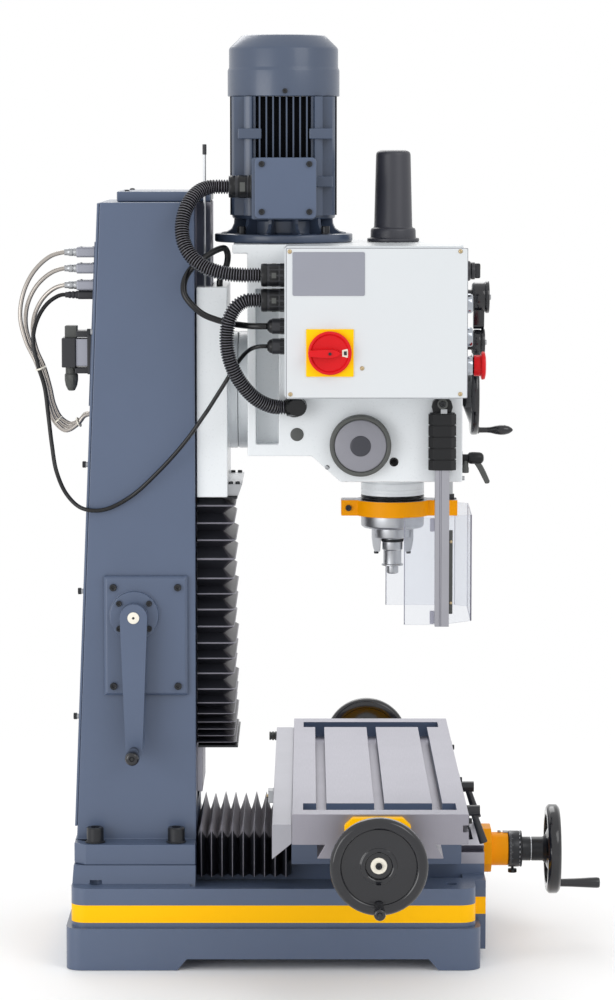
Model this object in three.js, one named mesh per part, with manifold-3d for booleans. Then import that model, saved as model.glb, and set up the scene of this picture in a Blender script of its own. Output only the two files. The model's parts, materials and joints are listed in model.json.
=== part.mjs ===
// Mill drill: a gear-head bench mill with a dovetail column, a compound table and a swivelling head.
// Millimetres, +Z up. X runs along the table, -Y is the operator's side, Z = 0 is the floor.
// The model stands with the middle of its footprint over the origin.

import * as THREE from 'three';
import { mergeVertices } from 'three/addons/utils/BufferGeometryUtils.js';
import Module from 'manifold-3d';

const wasm = await Module();
wasm.setup();

// Driving dimensions of the whole machine

const tableLength = 800;
const tableWidth = 240;
const tableTopHeight = 261;
const tableAboveWays = 105;
const spindleReach = 284;
const columnFrontY = 197;
const spindleY = columnFrontY - spindleReach;
const tableSetback = 25;
const tableY = spindleY + tableSetback;

// Clearances and counts that the whole model shares

const seat = 0.3;
const slideClearance = 0.4;
const boreClearance = 0.4;
const overrun = 5;
const wheelSides = 26;
const roundSides = 22;
const smallSides = 12;
const knobSides = 10;
const cornerSteps = 4;

// Base casting, with the ground ways for the saddle on top

const baseWidth = 420;
const baseBehindColumnFront = 183;
const baseAheadOfColumnFront = 406;
const baseFootHeight = 60;
const baseLedge = 7;
const baseCornerRadius = 22;
const noseWidth = 288;
const noseProjection = 9.6;
const archHeight = 16;
const archSlope = 14;
const archFromRear = 158;
const archFromFront = 60;
const trayDepth = 8;
const trayRim = 16;
const trayBoss = 60;
const anchorHoleRadius = 9;
const anchorInset = 34;
const pedestalHeight = 20;
const wayHalfWidth = 90;
const wayNeck = 8;
const ledgeHalfWidth = 97;
const ledgeHeight = 11;
const dovetailHeight = 9;
const screwChannelHalfWidth = 47;
const screwChannelDepth = 8;
const skirtHeight = 25;
const skirtFlare = 12;
const skirtRearFlare = 2;
const noseWall = 14;

const baseRearY = columnFrontY + baseBehindColumnFront;
const baseFrontY = columnFrontY - baseAheadOfColumnFront;
const noseY = baseFrontY - noseProjection;
const wayTopZ = tableTopHeight - tableAboveWays;
const wayNeckZ = wayTopZ - dovetailHeight;
const wayLedgeZ = wayNeckZ - ledgeHeight;
const baseHeight = wayLedgeZ - pedestalHeight;

// Column casting, with its foot plate, dovetail and the slot for the lifting nut

const columnHalfWidth = 120;
const columnDepthBottom = 173;
const columnDepthTop = 134;
const columnTopZ = 1084;
const columnFootMargin = 50;
const columnFootHeight = 30;
const columnFootDepth = 174;
const columnFootChamfer = 16;
const footScrewRadius = 12;
const footScrewHeight = 16;
const footScrewInset = 18;
const footScrewFromFront = 28;
const footScrewPitch = 116;
const columnDovetailDepth = 22;
const columnDovetailHalfWidth = 75;
const columnDovetailNeck = 12;
const columnDovetailAboveWays = 59;
const nutSlotHalfWidth = 30;
const nutSlotBottomZ = 560;
const coverHeight = 15;
const coverHalfWidth = 90;
const coverFromRear = 23;
const gearChamberHalfWidth = 46;
const gearChamberHeight = 100;

const columnFootHalfWidth = baseWidth / 2 - columnFootMargin;
const columnBottomZ = baseHeight + skirtHeight;
const columnFootTopZ = columnBottomZ + columnFootHeight;
const columnDovetailBottomZ = wayTopZ + columnDovetailAboveWays;
const dovetailFaceY = columnFrontY - columnDovetailDepth;
const columnTopRearY = columnFrontY + columnDepthTop;
const coverTopZ = columnTopZ + coverHeight;

// Lifting gear inside the column: crank shaft, bevel gears and screw

const crankZ = 497;
const crankFromFront = 87;
const crankShaftRadius = 12;
const crankArmLength = 192;
const crankArmHubWidth = 39;
const crankArmEndWidth = 24;
const crankArmThickness = 17;
const crankHubLength = 22;
const crankHandleLength = 64;
const crankHandleRadius = 9;
const crankHandleTailRadius = 7;
const handleNeckShare = 0.12;
const handleSwellShare = 0.7;
const handleEndShare = 0.93;
const bevelPitchRadius = 18;
const bevelRatio = 2;
const bevelFaceShare = 0.35;
const bevelBacklash = 0.8;
const liftScrewRadius = 14;
const gearCoverWidth = 120;
const gearCoverHeight = 172;
const gearCoverThickness = 9;
const gearCoverBevel = 4;
const gearCoverDrop = 30;
const gearCoverShift = 16;
const crankFlangeRadius = 35;
const crankFlangeThickness = 8;

const crankY = columnFrontY + crankFromFront;
const bevelGearRadius = bevelPitchRadius * bevelRatio;
const chamberBottomZ = crankZ - gearChamberHeight / 2;
const coverPlateX = -columnHalfWidth - seat;
const crankSeatX = coverPlateX - gearCoverThickness - crankFlangeThickness;

// Saddle and table

const saddleHalfWidth = 130;
const saddleLength = 244;
const saddleTunnelRise = 22;
const saddleNutHalfWidth = 20;
const saddleNutLength = 60;
const tablePlateThickness = 42;
const tableDovetailHeight = 19;
const tableDovetailTopHalf = 75;
const tableDovetailBottomHalf = 86;
const tableScrewSetback = 4;
const tableScrewDrop = 50;
const tableChannelHalfWidth = 24;
const tableChannelHeight = 32;
const slotPitch = 80;
const slotWidth = 14;
const slotThroat = 13;
const slotHeadWidth = 24;
const slotHeadHeight = 10;
const troughFromEnd = 33;
const troughWidth = 49;
const troughDepth = 16;
const troughOverhang = 18;
const stopSlotWidth = 9.5;
const stopSlotDepth = 8;
const stopSlotDrop = 20;
const tableNutHalfWidth = 20;
const tableNutRise = 24;
const scaleWidth = 27;
const scaleTopDrop = 14;
const scaleInnerDrop = 40;
const scaleOuterDrop = 62;

const tableFrontY = tableY - tableWidth / 2;
const tableRearY = tableY + tableWidth / 2;
const tablePlateZ = tableTopHeight - tablePlateThickness;
const tableDovetailZ = tablePlateZ - tableDovetailHeight;
const tableScrewZ = tableTopHeight - tableScrewDrop;
const tableScrewY = tableY + tableScrewSetback;
const saddleTopZ = tablePlateZ - slideClearance;
const saddleTunnelTopZ = wayTopZ + saddleTunnelRise;
const saddleFrontY = tableY - saddleLength / 2;
const saddleRearY = tableY + saddleLength / 2;
const crossScrewDrop = 23;
const crossScrewZ = wayTopZ - crossScrewDrop;
const crossScrewRadius = 12;

// Screw ends: bearing bracket, dial, clutch sleeve, handwheel and its handle, outward from the face

const flangeWidth = 86;
const flangeTop = 42;
const flangeBottom = 27;
const flangeChamfer = 18;
const flangeThickness = 14.5;
const barrelRadius = 25;
const barrelLength = 25;
const dialRadius = 26;
const dialLength = 19;
const sleeveRadius = 17;
const sleeveLength = 31;
const wheelRadius = 65.5;
const wheelRimWidth = 14.5;
const wheelRimThickness = 19;
const wheelRimGap = 5;
const wheelHubRadius = 24;
const wheelHubRecessRadius = 18;
const wheelHubRecess = 4;
const wheelWebThickness = 7;
const wheelWebSetback = 6;
const wheelHandleOrbit = 51;
const wheelHandleLength = 61.3;
const wheelHandleRadius = 8;
const wheelHandleNeckRadius = 6.2;

const barrelEnd = flangeThickness + barrelLength;
const dialEnd = barrelEnd + seat + dialLength;
const sleeveEnd = dialEnd + sleeveLength;
const rimStart = sleeveEnd + wheelRimGap;
const rimEnd = rimStart + wheelRimThickness;

// Head carriage, swivel and head casting

const carriageHalfWidth = 110;
const carriageBottomZ = 664;
const carriageTopZ = 964;
const carriagePlate = 24;
const carriageBackGap = 2;
const liftNutHalfWidth = 25;
const liftNutBottomZ = 880;
const liftNutHeight = 50;
const liftNutWall = 6;
const scaleRodRadius = 2;
const scaleRodTopZ = 1165;
const scaleRodFromEdge = 14;
const swivelZ = 811;
const swivelRadius = 85;
const swivelRingThickness = 14;
const swivelPinRadius = 30;
const swivelPinLength = 20;
const headHalfWidth = 130;
const headBottomZ = 688;
const headTopZ = 1025;
const headRearFromSpindle = 209;
const headFrontFromSpindle = 96;
const chinZ = 725;
const chinStartFromRear = 91;
const chinLength = 41;
const deckOverhang = 21;
const deckThickness = 13;
const pocketBottomZ = 742;
const pocketTopZ = 962;
const pocketStart = 12;
const pocketWidth = 32;
const pocketDepth = 35;
const grommetRadius = 13;
const grommetReach = 16;
const grommetY = 51;
const grommetZ = 796;
const grommetLength = 16;
const quillBossRadius = 44.8;
const quillBossBottomZ = 651.5;

const carriageFrontY = dovetailFaceY - carriagePlate;
const swivelPlaneY = carriageFrontY - swivelRingThickness;
const headRearY = spindleY + headRearFromSpindle;
const headFrontY = spindleY - headFrontFromSpindle;

// Quill, spindle, depth stop and drawbar cover

const quillRadius = 37.5;
const quillTopZ = 900;
const quillNoseRadius = 45.6;
const quillNoseTopZ = 628;
const quillNoseBottomZ = 610;
const quillNoseBevel = 3;
const spindleRadius = 22;
const drawbarRadius = 14;
const drawbarTopZ = 1060;
const spindleNoseRadius = 27.3;
const spindleNoseBottomZ = 595;
const spindleGrooveZ = 590;
const spindleGrooveRadius = 12;
const arborRadius = 14.5;
const arborBottomZ = 577;
const arborNeckRadius = 13;
const arborNeckBottomZ = 555.5;
const arborFlangeRadius = 15.5;
const arborFlangeThickness = 2;
const arborTipRadius = 8.5;
const arborTipBottomZ = 542;
const driveDogWidth = 16;
const driveDogDepth = 8;
const driveDogBottomZ = 583;
const stopClampTopZ = 651;
const stopClampRadius = 55;
const stopClampRearFromSpindle = 75;
const stopClampFrontFromSpindle = 94;
const stopClampEarHalfWidth = 18;
const stopRodRadius = 6;
const stopRodFromSpindle = 82;
const stopRodTopZ = 806;
const stopRodBoreTopZ = 830;
const drawbarCoverRadiusBottom = 28;
const drawbarCoverRadiusTop = 25;
const drawbarCoverHeight = 132;
const drawbarCoverFlangeRadius = 38;
const drawbarCoverFlangeHeight = 6;
const drawbarCoverWall = 4;

const stopRodY = spindleY - stopRodFromSpindle;
const drawbarBoreRadius = 24;

// Motor, terminal box and electrical box

const motorBehindSpindle = 158.5;
const motorFlangeRadius = 100;
const motorFlangeThickness = 12;
const motorNeckRadius = 62;
const motorNeckHeight = 27;
const motorFinRadius = 77;
const motorCoreRadius = 64;
const motorFinCount = 28;
const motorFinThickness = 3.4;
const motorBodyHeight = 169;
const cowlRadius = 79;
const cowlHeight = 88;
const cowlGrooveHeight = 40;
const cowlGrooveDepth = 1.5;
const cowlShoulderHeight = 19;
const cowlTopRadius = 58;
const terminalWidth = 88;
const terminalHeight = 87;
const terminalBottomZ = 1060;
const terminalFaceX = -138;
const terminalDepth = 50;
const boxFaceX = -232;
const boxHeight = 212;
const boxRearFromSpindle = 156;
const boxFrontFromSpindle = 94;
const boxLidThickness = 4;
const boxLidMargin = 2;
const boxCorner = 4;
const conduitGlandRadius = 16;
const conduitGlandLength = 33;
const conduitGlandFlat = 11;
const cableGlandRadius = 11;
const cableGlandLength = 24;
const glandZs = [984, 949, 912.7, 884.6];
const glandX = -190;
const terminalGlandZ = 1106;
const terminalGlandX = -118;
const glandNutShare = 0.7;
const padShare = 0.4;

const motorY = spindleY + motorBehindSpindle;
const motorBodyZ = headTopZ + seat + motorFlangeThickness + motorNeckHeight;
const motorTopZ = motorBodyZ + motorBodyHeight;
const boxInnerX = -headHalfWidth - seat;
const boxTopZ = headTopZ + 2 * seat;
const boxBottomZ = boxTopZ - boxHeight;
const boxRearY = spindleY + boxRearFromSpindle;
const boxFrontY = spindleY - boxFrontFromSpindle;

// Controls

const isolatorPlateSize = 66;
const isolatorPlateThickness = 3;
const isolatorZ = 878;
const isolatorFromSpindle = 93;
const isolatorDiscRadius = 30;
const isolatorDiscThickness = 12;
const isolatorGripWidth = 16;
const isolatorGripHeight = 14;
const controlsX = -180;
const selectorZ = 989.6;
const selectorRadius = 14;
const selectorLength = 20;
const selectorGripShare = 0.33;
const buttonZs = [944, 897];
const buttonRadius = 13;
const buttonBezelLength = 10;
const buttonTravel = 3;
const buttonCapRadius = 9;
const buttonCapProud = 1;
const buttonCapDepth = 4;
const stopZ = 857;
const stopStemRadius = 15;
const stopStemLength = 12;
const stopHeadRadius = 20;
const stopHeadLength = 11;
const headCrownShare = 0.8;
const speedLeverX = -45;
const speedLeverZs = [947, 882];
const speedLeverHubRadii = [22, 18];
const speedLeverShaftRadius = 9;
const speedLeverStandoff = 22;
const speedLeverHubLength = 20;
const speedLeverArmLength = 48;
const speedLeverArmWidth = 18;
const speedLeverArmThickness = 6;
const fineFeedZ = 800;
const fineFeedX = 45;
const fineFeedBossLength = 6;
const fineFeedHubLength = 12;
const fineFeedHubRadius = 22;
const fineFeedRadius = 59;
const fineFeedRimWidth = 10;
const fineFeedRimThickness = 11;
const fineFeedHandleOrbit = 52;
const fineFeedHandleLength = 48;
const fineFeedHandleNeck = 5;
const hubNeckShare = 0.6;
const quillLockX = -60;
const quillLockZ = 716;
const leverHubRadius = 8;
const leverHubLength = 20;
const leverStudRadius = 5;
const leverStudLength = 8;
const leverArmLength = 48;
const leverArmSplay = 16;
const leverArmRadius = 6;
const armTaperShare = 0.75;
const clampLeverX = 95;
const clampLeverDrop = 53;
const clampLeverZ = tableTopHeight - clampLeverDrop;

// Quill feed: return spring cap on one side of the pinion shaft, spoked lever on the other

const feedAxisZ = 741;
const feedAxisFromSpindle = 49;
const springCapRadius = 43.6;
const springCapLength = 20;
const springCapBevel = 4;
const springDiscRadius = 36;
const springDiscRecess = 3;
const springCentreRadius = 15;
const feedHubRadius = 30;
const feedHubLength = 42;
const feedCollarRadius = 40;
const feedCollarLength = 14;
const spokeCount = 3;
const spokeRadius = 7;
const spokeLength = 150;
const spokeKnobRadius = 16;
const spokeSplayShare = 0.18;
const knobRingShare = 0.6;

// Chip guard: switch housing, post and clear screen

const guardPostX = -145;
const guardPostFromSpindle = 66.6;
const guardPostSize = 20;
const guardPostTopZ = 707;
const guardPostBottomZ = 484;
const guardHousingWidth = 39;
const guardHousingDepth = 28;
const guardHousingTopZ = 788;
const guardHousingChamfer = 7;
const guardHousingRings = 5;
const guardGroove = 2;
const guardEarRadius = 15;
const guardEarRise = 8;
const guardThickness = 3;
const guardTopZ = 637.6;
const guardBottomZ = 484;
const guardFarX = 85;
const guardFrontFromSpindle = 109;
const guardCorner = 34;
const guardNearLegFromSpindle = 13;
const guardFarLegFromSpindle = -8;

const guardPostY = spindleY - guardPostFromSpindle;
const guardNearX = guardPostX + guardPostSize / 2 + seat;
const guardFrontY = spindleY - guardFrontFromSpindle;

// Way bellows

const bellowsWall = 2;
const columnBellowsPleats = 12;
const columnBellowsHalfWidth = 105;
const columnBellowsDepth = 57;
const columnBellowsPleat = 17;
const columnBellowsBottomZ = 305;
const baseBellowsPleats = 9;
const baseBellowsHalfWidth = 132;
const baseBellowsRise = 27;
const baseBellowsTopZ = wayTopZ + baseBellowsRise;
const baseBellowsPleat = 20;
const bellowsFloorGap = 2;

// Connectors on the back of the column

const connectorX = -60;
const plugZs = [1012, 989, 965];
const plugWidth = 34;
const plugHeight = 15;
const plugReach = 372;
const powerPlugZ = 951;
const connectorPlateThickness = 5;
const heavyConnectorZ = 869;
const heavyConnectorHeight = 76;
const heavyConnectorWidth = 46;
const heavyConnectorReach = 394;
const heavyGlandRadius = 9;
const heavyGlandLength = 17;

// Cords

const conduitRadius = 10.6;
const conduitBoreRadius = 7.4;
const conduitRibDepth = 1.9;
const conduitRibs = 28;
const ribPoints = 8;
const ribsPerBoreRing = 5;
const hoseSamples = 80;
const cableSides = 8;
const limitCableRadius = 4.5;
const headCableRadius = 3;
const scaleCableRadius = 3.4;

// Paints and finishes

const finishes = {
  slatePaint: { color: 0x5f6b7d, roughness: 0.45, metalness: 0.0 },
  whitePaint: { color: 0xe6eaec, roughness: 0.4, metalness: 0.0 },
  yellowPaint: { color: 0xfbb20d, roughness: 0.45, metalness: 0.0 },
  orangePaint: { color: 0xe09b08, roughness: 0.5, metalness: 0.0 },
  groundSteel: { color: 0xb4b5b8, roughness: 0.3, metalness: 1.0 },
  blackGloss: { color: 0x17181a, roughness: 0.2, metalness: 0.0 },
  blackMatt: { color: 0x1f2022, roughness: 0.7, metalness: 0.0 },
  rubber: { color: 0x1a1a1c, roughness: 0.8, metalness: 0.0 },
  chrome: { color: 0xd8dadc, roughness: 0.12, metalness: 1.0 },
  aluminium: { color: 0xc3c5c8, roughness: 0.35, metalness: 1.0 },
  red: { color: 0xd8232a, roughness: 0.35, metalness: 0.0 },
  clear: { color: 0xe8eef2, roughness: 0.1, metalness: 0.0, transparent: true, opacity: 0.25 },
};

for (const [name, look] of Object.entries(finishes)) {
  finishes[name] = new THREE.MeshStandardMaterial(look);
}

// Solids: three.js makes the shapes, and manifold joins and cuts them

function toSolid(shape) {
  if (!shape.isBufferGeometry) return shape;
  const bare = shape.clone();
  bare.deleteAttribute('normal');
  bare.deleteAttribute('uv');
  const merged = mergeVertices(bare);
  const vertProperties = new Float32Array(merged.attributes.position.array);
  const triVerts = new Uint32Array(merged.index.array);
  return new wasm.Manifold(new wasm.Mesh({ numProp: 3, vertProperties, triVerts }));
}

function toGeometry(shape) {
  if (shape.isBufferGeometry) return shape;
  const mesh = shape.getMesh();
  const geometry = new THREE.BufferGeometry();
  geometry.setAttribute('position', new THREE.Float32BufferAttribute(mesh.vertProperties, 3));
  geometry.setIndex([...mesh.triVerts]);
  geometry.computeVertexNormals();
  return geometry;
}

function join(first, ...others) {
  return others.reduce((sum, other) => sum.add(toSolid(other)), toSolid(first));
}

function cut(first, ...tools) {
  return tools.reduce((rest, tool) => rest.subtract(toSolid(tool)), toSolid(first));
}

// A box between two limits on each axis, given in either order.
function block(x0, x1, y0, y1, z0, z1) {
  const box = new THREE.BoxGeometry(Math.abs(x1 - x0), Math.abs(y1 - y0), Math.abs(z1 - z0));
  return box.translate((x0 + x1) / 2, (y0 + y1) / 2, (z0 + z1) / 2);
}

// Matrices that turn an outline drawn in its own plane into one extruded along a machine axis.
const along = {
  x: new THREE.Matrix4().makeBasis(
    new THREE.Vector3(0, 1, 0), new THREE.Vector3(0, 0, 1), new THREE.Vector3(1, 0, 0)),
  y: new THREE.Matrix4().makeBasis(
    new THREE.Vector3(0, 0, 1), new THREE.Vector3(1, 0, 0), new THREE.Vector3(0, 1, 0)),
  z: new THREE.Matrix4(),
};

function shapeOf(outline) {
  if (outline instanceof THREE.Shape) return outline;
  return new THREE.Shape(outline.map(([a, b]) => new THREE.Vector2(a, b)));
}

// An outline extruded from one place to another: (y, z) along x, (z, x) along y, (x, y) along z.
function prism(axis, outline, from, to) {
  const geometry = new THREE.ExtrudeGeometry(shapeOf(outline), {
    depth: to - from, bevelEnabled: false, steps: 1, curveSegments: cornerSteps,
  });
  geometry.translate(0, 0, from);
  return geometry.applyMatrix4(along[axis]);
}

// A profile of [radius, height] pairs turned about a machine axis through (a, b), the same pairs as prism.
function turned(axis, profile, a, b, sides = roundSides) {
  const points = profile.map(([radius, height]) => new THREE.Vector2(radius, height));
  if (points[0].x > 0) points.unshift(new THREE.Vector2(0, points[0].y));
  if (points.at(-1).x > 0) points.push(new THREE.Vector2(0, points.at(-1).y));
  const geometry = new THREE.LatheGeometry(points, sides);
  geometry.rotateX(Math.PI / 2);
  geometry.translate(a, b, 0);
  return geometry.applyMatrix4(along[axis]);
}

function rod(axis, radius, from, to, a, b, sides = roundSides) {
  return turned(axis, [[radius, from], [radius, to]], a, b, sides);
}

// A rectangle with rounded corners.
function roundedOutline(x0, x1, y0, y1, radius) {
  const shape = new THREE.Shape();
  shape.absarc(x1 - radius, y0 + radius, radius, -Math.PI / 2, 0);
  shape.absarc(x1 - radius, y1 - radius, radius, 0, Math.PI / 2);
  shape.absarc(x0 + radius, y1 - radius, radius, Math.PI / 2, Math.PI);
  shape.absarc(x0 + radius, y0 + radius, radius, Math.PI, 3 * Math.PI / 2);
  return shape;
}

// A rectangle with its corners cut off.
function chamferedOutline(a0, a1, b0, b1, cutOff) {
  return [
    [a0 + cutOff, b0], [a1 - cutOff, b0], [a1, b0 + cutOff], [a1, b1 - cutOff],
    [a1 - cutOff, b1], [a0 + cutOff, b1], [a0, b1 - cutOff], [a0, b0 + cutOff],
  ];
}

// A skin over rings of equal point counts, closed by flat ends. flatten maps a point to the end's plane.
function loft(rings, flatten) {
  const count = rings[0].length;
  const positions = rings.flat(2);
  const index = [];
  for (let ring = 0; ring + 1 < rings.length; ring += 1) {
    for (let point = 0; point < count; point += 1) {
      const next = (point + 1) % count;
      const a = ring * count + point;
      const b = ring * count + next;
      index.push(a, b, b + count, a, b + count, a + count);
    }
  }
  const outline = rings[0].map((point) => new THREE.Vector2(...flatten(point)));
  const caps = THREE.ShapeUtils.triangulateShape(outline, []);
  const last = (rings.length - 1) * count;
  for (const [a, b, c] of caps) {
    index.push(a, c, b, last + a, last + b, last + c);
  }
  const geometry = new THREE.BufferGeometry();
  geometry.setAttribute('position', new THREE.Float32BufferAttribute(positions, 3));
  geometry.setIndex(index);
  geometry.computeVertexNormals();
  return geometry;
}

function curveThrough(points) {
  return new THREE.CatmullRomCurve3(points.map((point) => new THREE.Vector3(...point)), false,
    'centripetal');
}

// A round cord along a route, with a step every few diameters.
function cord(points, radius, sides, stepsPerDiameter = 0.4) {
  const path = curveThrough(points);
  const section = new THREE.Shape();
  for (let side = 0; side < sides; side += 1) {
    const angle = 2 * Math.PI * side / sides;
    const corner = [radius * Math.cos(angle), radius * Math.sin(angle)];
    if (side === 0) section.moveTo(...corner);
    else section.lineTo(...corner);
  }
  const steps = Math.round(path.getLength() / (2 * radius) * stepsPerDiameter);
  return new THREE.ExtrudeGeometry(section, { extrudePath: path, steps, bevelEnabled: false });
}

const machine = new THREE.Group();

function add(name, finish, shape, parent = machine) {
  const mesh = new THREE.Mesh(toGeometry(shape), finishes[finish]);
  mesh.name = name;
  parent.add(mesh);
  return mesh;
}

// Base

function baseBlocks() {
  const half = baseWidth / 2;
  const foot = prism('z', roundedOutline(-half, half, baseFrontY, baseRearY, baseCornerRadius), 0,
    baseFootHeight);
  const inner = half - baseLedge;
  const upper = prism('z',
    roundedOutline(-inner, inner, baseFrontY + baseLedge, baseRearY - baseLedge, baseCornerRadius),
    baseFootHeight - overrun, baseHeight);
  const nose = block(-noseWidth / 2, noseWidth / 2, noseY, baseFrontY + baseCornerRadius, archHeight,
    baseHeight);
  return join(foot, upper, nose);
}

function baseArch() {
  const rear = baseRearY - archFromRear;
  const front = baseFrontY + archFromFront;
  const outline = [
    [rear, -overrun], [rear, 0], [rear - archSlope, archHeight],
    [front + archSlope, archHeight], [front, 0], [front, -overrun],
  ];
  return prism('x', outline, -baseWidth, baseWidth);
}

// The shallow tray in the top, which leaves a rim and a raised boss round each anchor hole.
function baseTray() {
  const inner = baseWidth / 2 - baseLedge - trayRim;
  const front = baseFrontY + baseLedge + trayRim;
  const rear = columnFrontY + baseLedge;
  const tray = block(-inner, inner, front, rear, baseHeight - trayDepth, baseHeight + overrun);
  const bosses = [-1, 1].map((side) => {
    const outer = side * (inner + trayRim);
    return block(side * (inner - trayBoss), outer, front - trayRim, front + trayBoss, 0, tableTopHeight);
  });
  return cut(tray, ...bosses);
}

function anchorHoles() {
  const x = baseWidth / 2 - baseLedge - anchorInset;
  const ys = [baseFrontY + baseLedge + anchorInset, baseRearY - baseLedge - anchorInset];
  const holes = [];
  for (const side of [-1, 1]) {
    for (const y of ys) {
      holes.push(rod('z', anchorHoleRadius, -overrun, baseHeight + overrun, side * x, y, smallSides));
    }
  }
  return holes;
}

// Half-widths of the saddle ways by height, widened by a clearance for the saddle that rides them.
function wayOutline(gap) {
  const neck = wayHalfWidth - wayNeck + gap;
  const wide = wayHalfWidth + gap;
  const ledge = ledgeHalfWidth + gap;
  return [
    [wayLedgeZ - overrun, -ledge], [wayNeckZ + gap, -ledge], [wayNeckZ + gap, -neck],
    [wayTopZ + gap, -wide],
    [wayTopZ + gap, wide], [wayNeckZ + gap, neck], [wayNeckZ + gap, ledge], [wayLedgeZ - overrun, ledge],
  ];
}

function baseWays() {
  const pedestal = block(-ledgeHalfWidth, ledgeHalfWidth, noseY, columnFrontY, baseFootHeight, wayLedgeZ);
  const ways = prism('y', wayOutline(0), noseY, columnFrontY);
  return join(pedestal, ways);
}

// The raised seat that the column's foot stands on, flared at the bottom.
function columnSkirt() {
  const ring = (z, flare, rearFlare) => {
    const half = columnFootHalfWidth + flare;
    const rear = columnFrontY + columnFootDepth + rearFlare;
    return [[-half, columnFrontY, z], [half, columnFrontY, z], [half, rear, z], [-half, rear, z]];
  };
  const rings = [ring(baseHeight - trayDepth, skirtFlare, skirtRearFlare), ring(columnBottomZ, 0, 0)];
  return loft(rings, ([x, y]) => [x, y]);
}

function baseCasting() {
  const solid = join(cut(baseBlocks(), baseArch(), baseTray()), baseWays(), columnSkirt());
  const channel = block(-screwChannelHalfWidth, screwChannelHalfWidth, noseY + noseWall,
    columnFrontY - overrun,
    baseHeight - screwChannelDepth - trayDepth, wayTopZ + overrun);
  const screwBore = rod('y', crossScrewRadius + boreClearance, noseY - overrun, noseY + noseWall + overrun,
    crossScrewZ, 0);
  return cut(solid, channel, screwBore, ...anchorHoles());
}

add('base_casting', 'slatePaint', baseCasting());

// Column

function columnBody() {
  const ring = (z, depth) => [
    [-columnHalfWidth, columnFrontY, z], [columnHalfWidth, columnFrontY, z],
    [columnHalfWidth, columnFrontY + depth, z], [-columnHalfWidth, columnFrontY + depth, z],
  ];
  return loft([ring(columnBottomZ + seat, columnDepthBottom), ring(columnTopZ, columnDepthTop)],
    ([x, y]) => [x, y]);
}

function columnFoot() {
  const rear = columnFrontY + columnFootDepth;
  const half = columnFootHalfWidth;
  const outline = [
    [-half, columnFrontY], [half, columnFrontY], [half, rear - columnFootChamfer],
    [half - columnFootChamfer, rear], [columnFootChamfer - half, rear], [-half, rear - columnFootChamfer],
  ];
  return prism('z', outline, columnBottomZ + seat, columnFootTopZ);
}

function footScrews() {
  const x = columnFootHalfWidth - footScrewInset;
  const screws = [];
  for (const side of [-1, 1]) {
    for (const y of [columnFrontY + footScrewFromFront,
      columnFrontY + footScrewFromFront + footScrewPitch]) {
      screws.push(rod('z', footScrewRadius, columnFootTopZ - overrun, columnFootTopZ + footScrewHeight,
        side * x, y, smallSides));
    }
  }
  return screws;
}

// The vertical dovetail's outline in plan, widened by a clearance for the carriage that rides it.
function dovetailOutline(gap) {
  const wide = columnDovetailHalfWidth + gap;
  const neck = columnDovetailHalfWidth - columnDovetailNeck + gap;
  const face = dovetailFaceY - gap;
  return [
    [-wide, face], [wide, face], [neck, columnFrontY], [neck, columnFrontY + overrun],
    [-neck, columnFrontY + overrun], [-neck, columnFrontY],
  ];
}

// The slot for the lifting nut, the chamber for the bevel gears and the bores for screw and crank shaft.
function columnHollows() {
  const slotRear = crankY + liftScrewRadius + liftNutWall + boreClearance;
  const slot = block(-nutSlotHalfWidth, nutSlotHalfWidth, dovetailFaceY - overrun, slotRear,
    nutSlotBottomZ, coverTopZ + overrun);
  const chamber = block(-gearChamberHalfWidth, gearChamberHalfWidth,
    crankY - gearChamberHalfWidth, crankY + gearChamberHalfWidth,
    chamberBottomZ, crankZ + gearChamberHeight / 2);
  const screwBore = rod('z', liftScrewRadius + boreClearance, chamberBottomZ - liftScrewRadius,
    nutSlotBottomZ + overrun, 0, crankY);
  const shaftBore = rod('x', crankShaftRadius + boreClearance, -columnHalfWidth - overrun, 0, crankY,
    crankZ);
  return [slot, chamber, screwBore, shaftBore];
}

function column() {
  const dovetail = prism('z', dovetailOutline(0), columnDovetailBottomZ, columnTopZ);
  return cut(join(columnBody(), columnFoot(), dovetail, ...footScrews()), ...columnHollows());
}

add('column', 'slatePaint', column());

function columnTopCover() {
  const lid = block(-coverHalfWidth, coverHalfWidth, columnFrontY, columnTopRearY - coverFromRear,
    columnTopZ + seat, coverTopZ);
  return join(lid, prism('z', dovetailOutline(0), columnTopZ + seat, coverTopZ));
}

add('column_top_cover', 'slatePaint', columnTopCover());

// Lifting gear

function bevelledPlate(x, thickness, y0, y1, z0, z1, bevel) {
  const ring = (place, inset) => [
    [place, y0 + inset, z0 + inset], [place, y0 + inset, z1 - inset],
    [place, y1 - inset, z1 - inset], [place, y1 - inset, z0 + inset],
  ];
  return loft([ring(x, 0), ring(x - thickness + bevel, 0), ring(x - thickness, bevel)],
    ([, y, z]) => [z, y]);
}

function gearCover() {
  const top = crankZ + gearCoverHeight / 2 - gearCoverDrop;
  const middle = crankY - gearCoverShift;
  const plate = bevelledPlate(coverPlateX, gearCoverThickness, middle - gearCoverWidth / 2,
    middle + gearCoverWidth / 2, top - gearCoverHeight, top, gearCoverBevel);
  const flange = rod('x', crankFlangeRadius, crankSeatX, coverPlateX - gearCoverBevel, crankY, crankZ);
  const bore = rod('x', crankShaftRadius + boreClearance, crankSeatX - overrun, coverPlateX + overrun,
    crankY, crankZ);
  return cut(join(plate, flange), bore);
}

add('z_gear_cover', 'slatePaint', gearCover());

// A bevel gear blank as [radius, distance from the apex] pairs, set back from the pitch cone.
function bevelProfile(pitchRadius, apexDistance) {
  const inner = 1 - bevelFaceShare;
  const radius = pitchRadius - bevelBacklash;
  const distance = apexDistance + bevelBacklash;
  return [[radius * inner, distance * inner], [radius, distance],
    [radius * inner, distance + pitchRadius / bevelRatio]];
}

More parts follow.
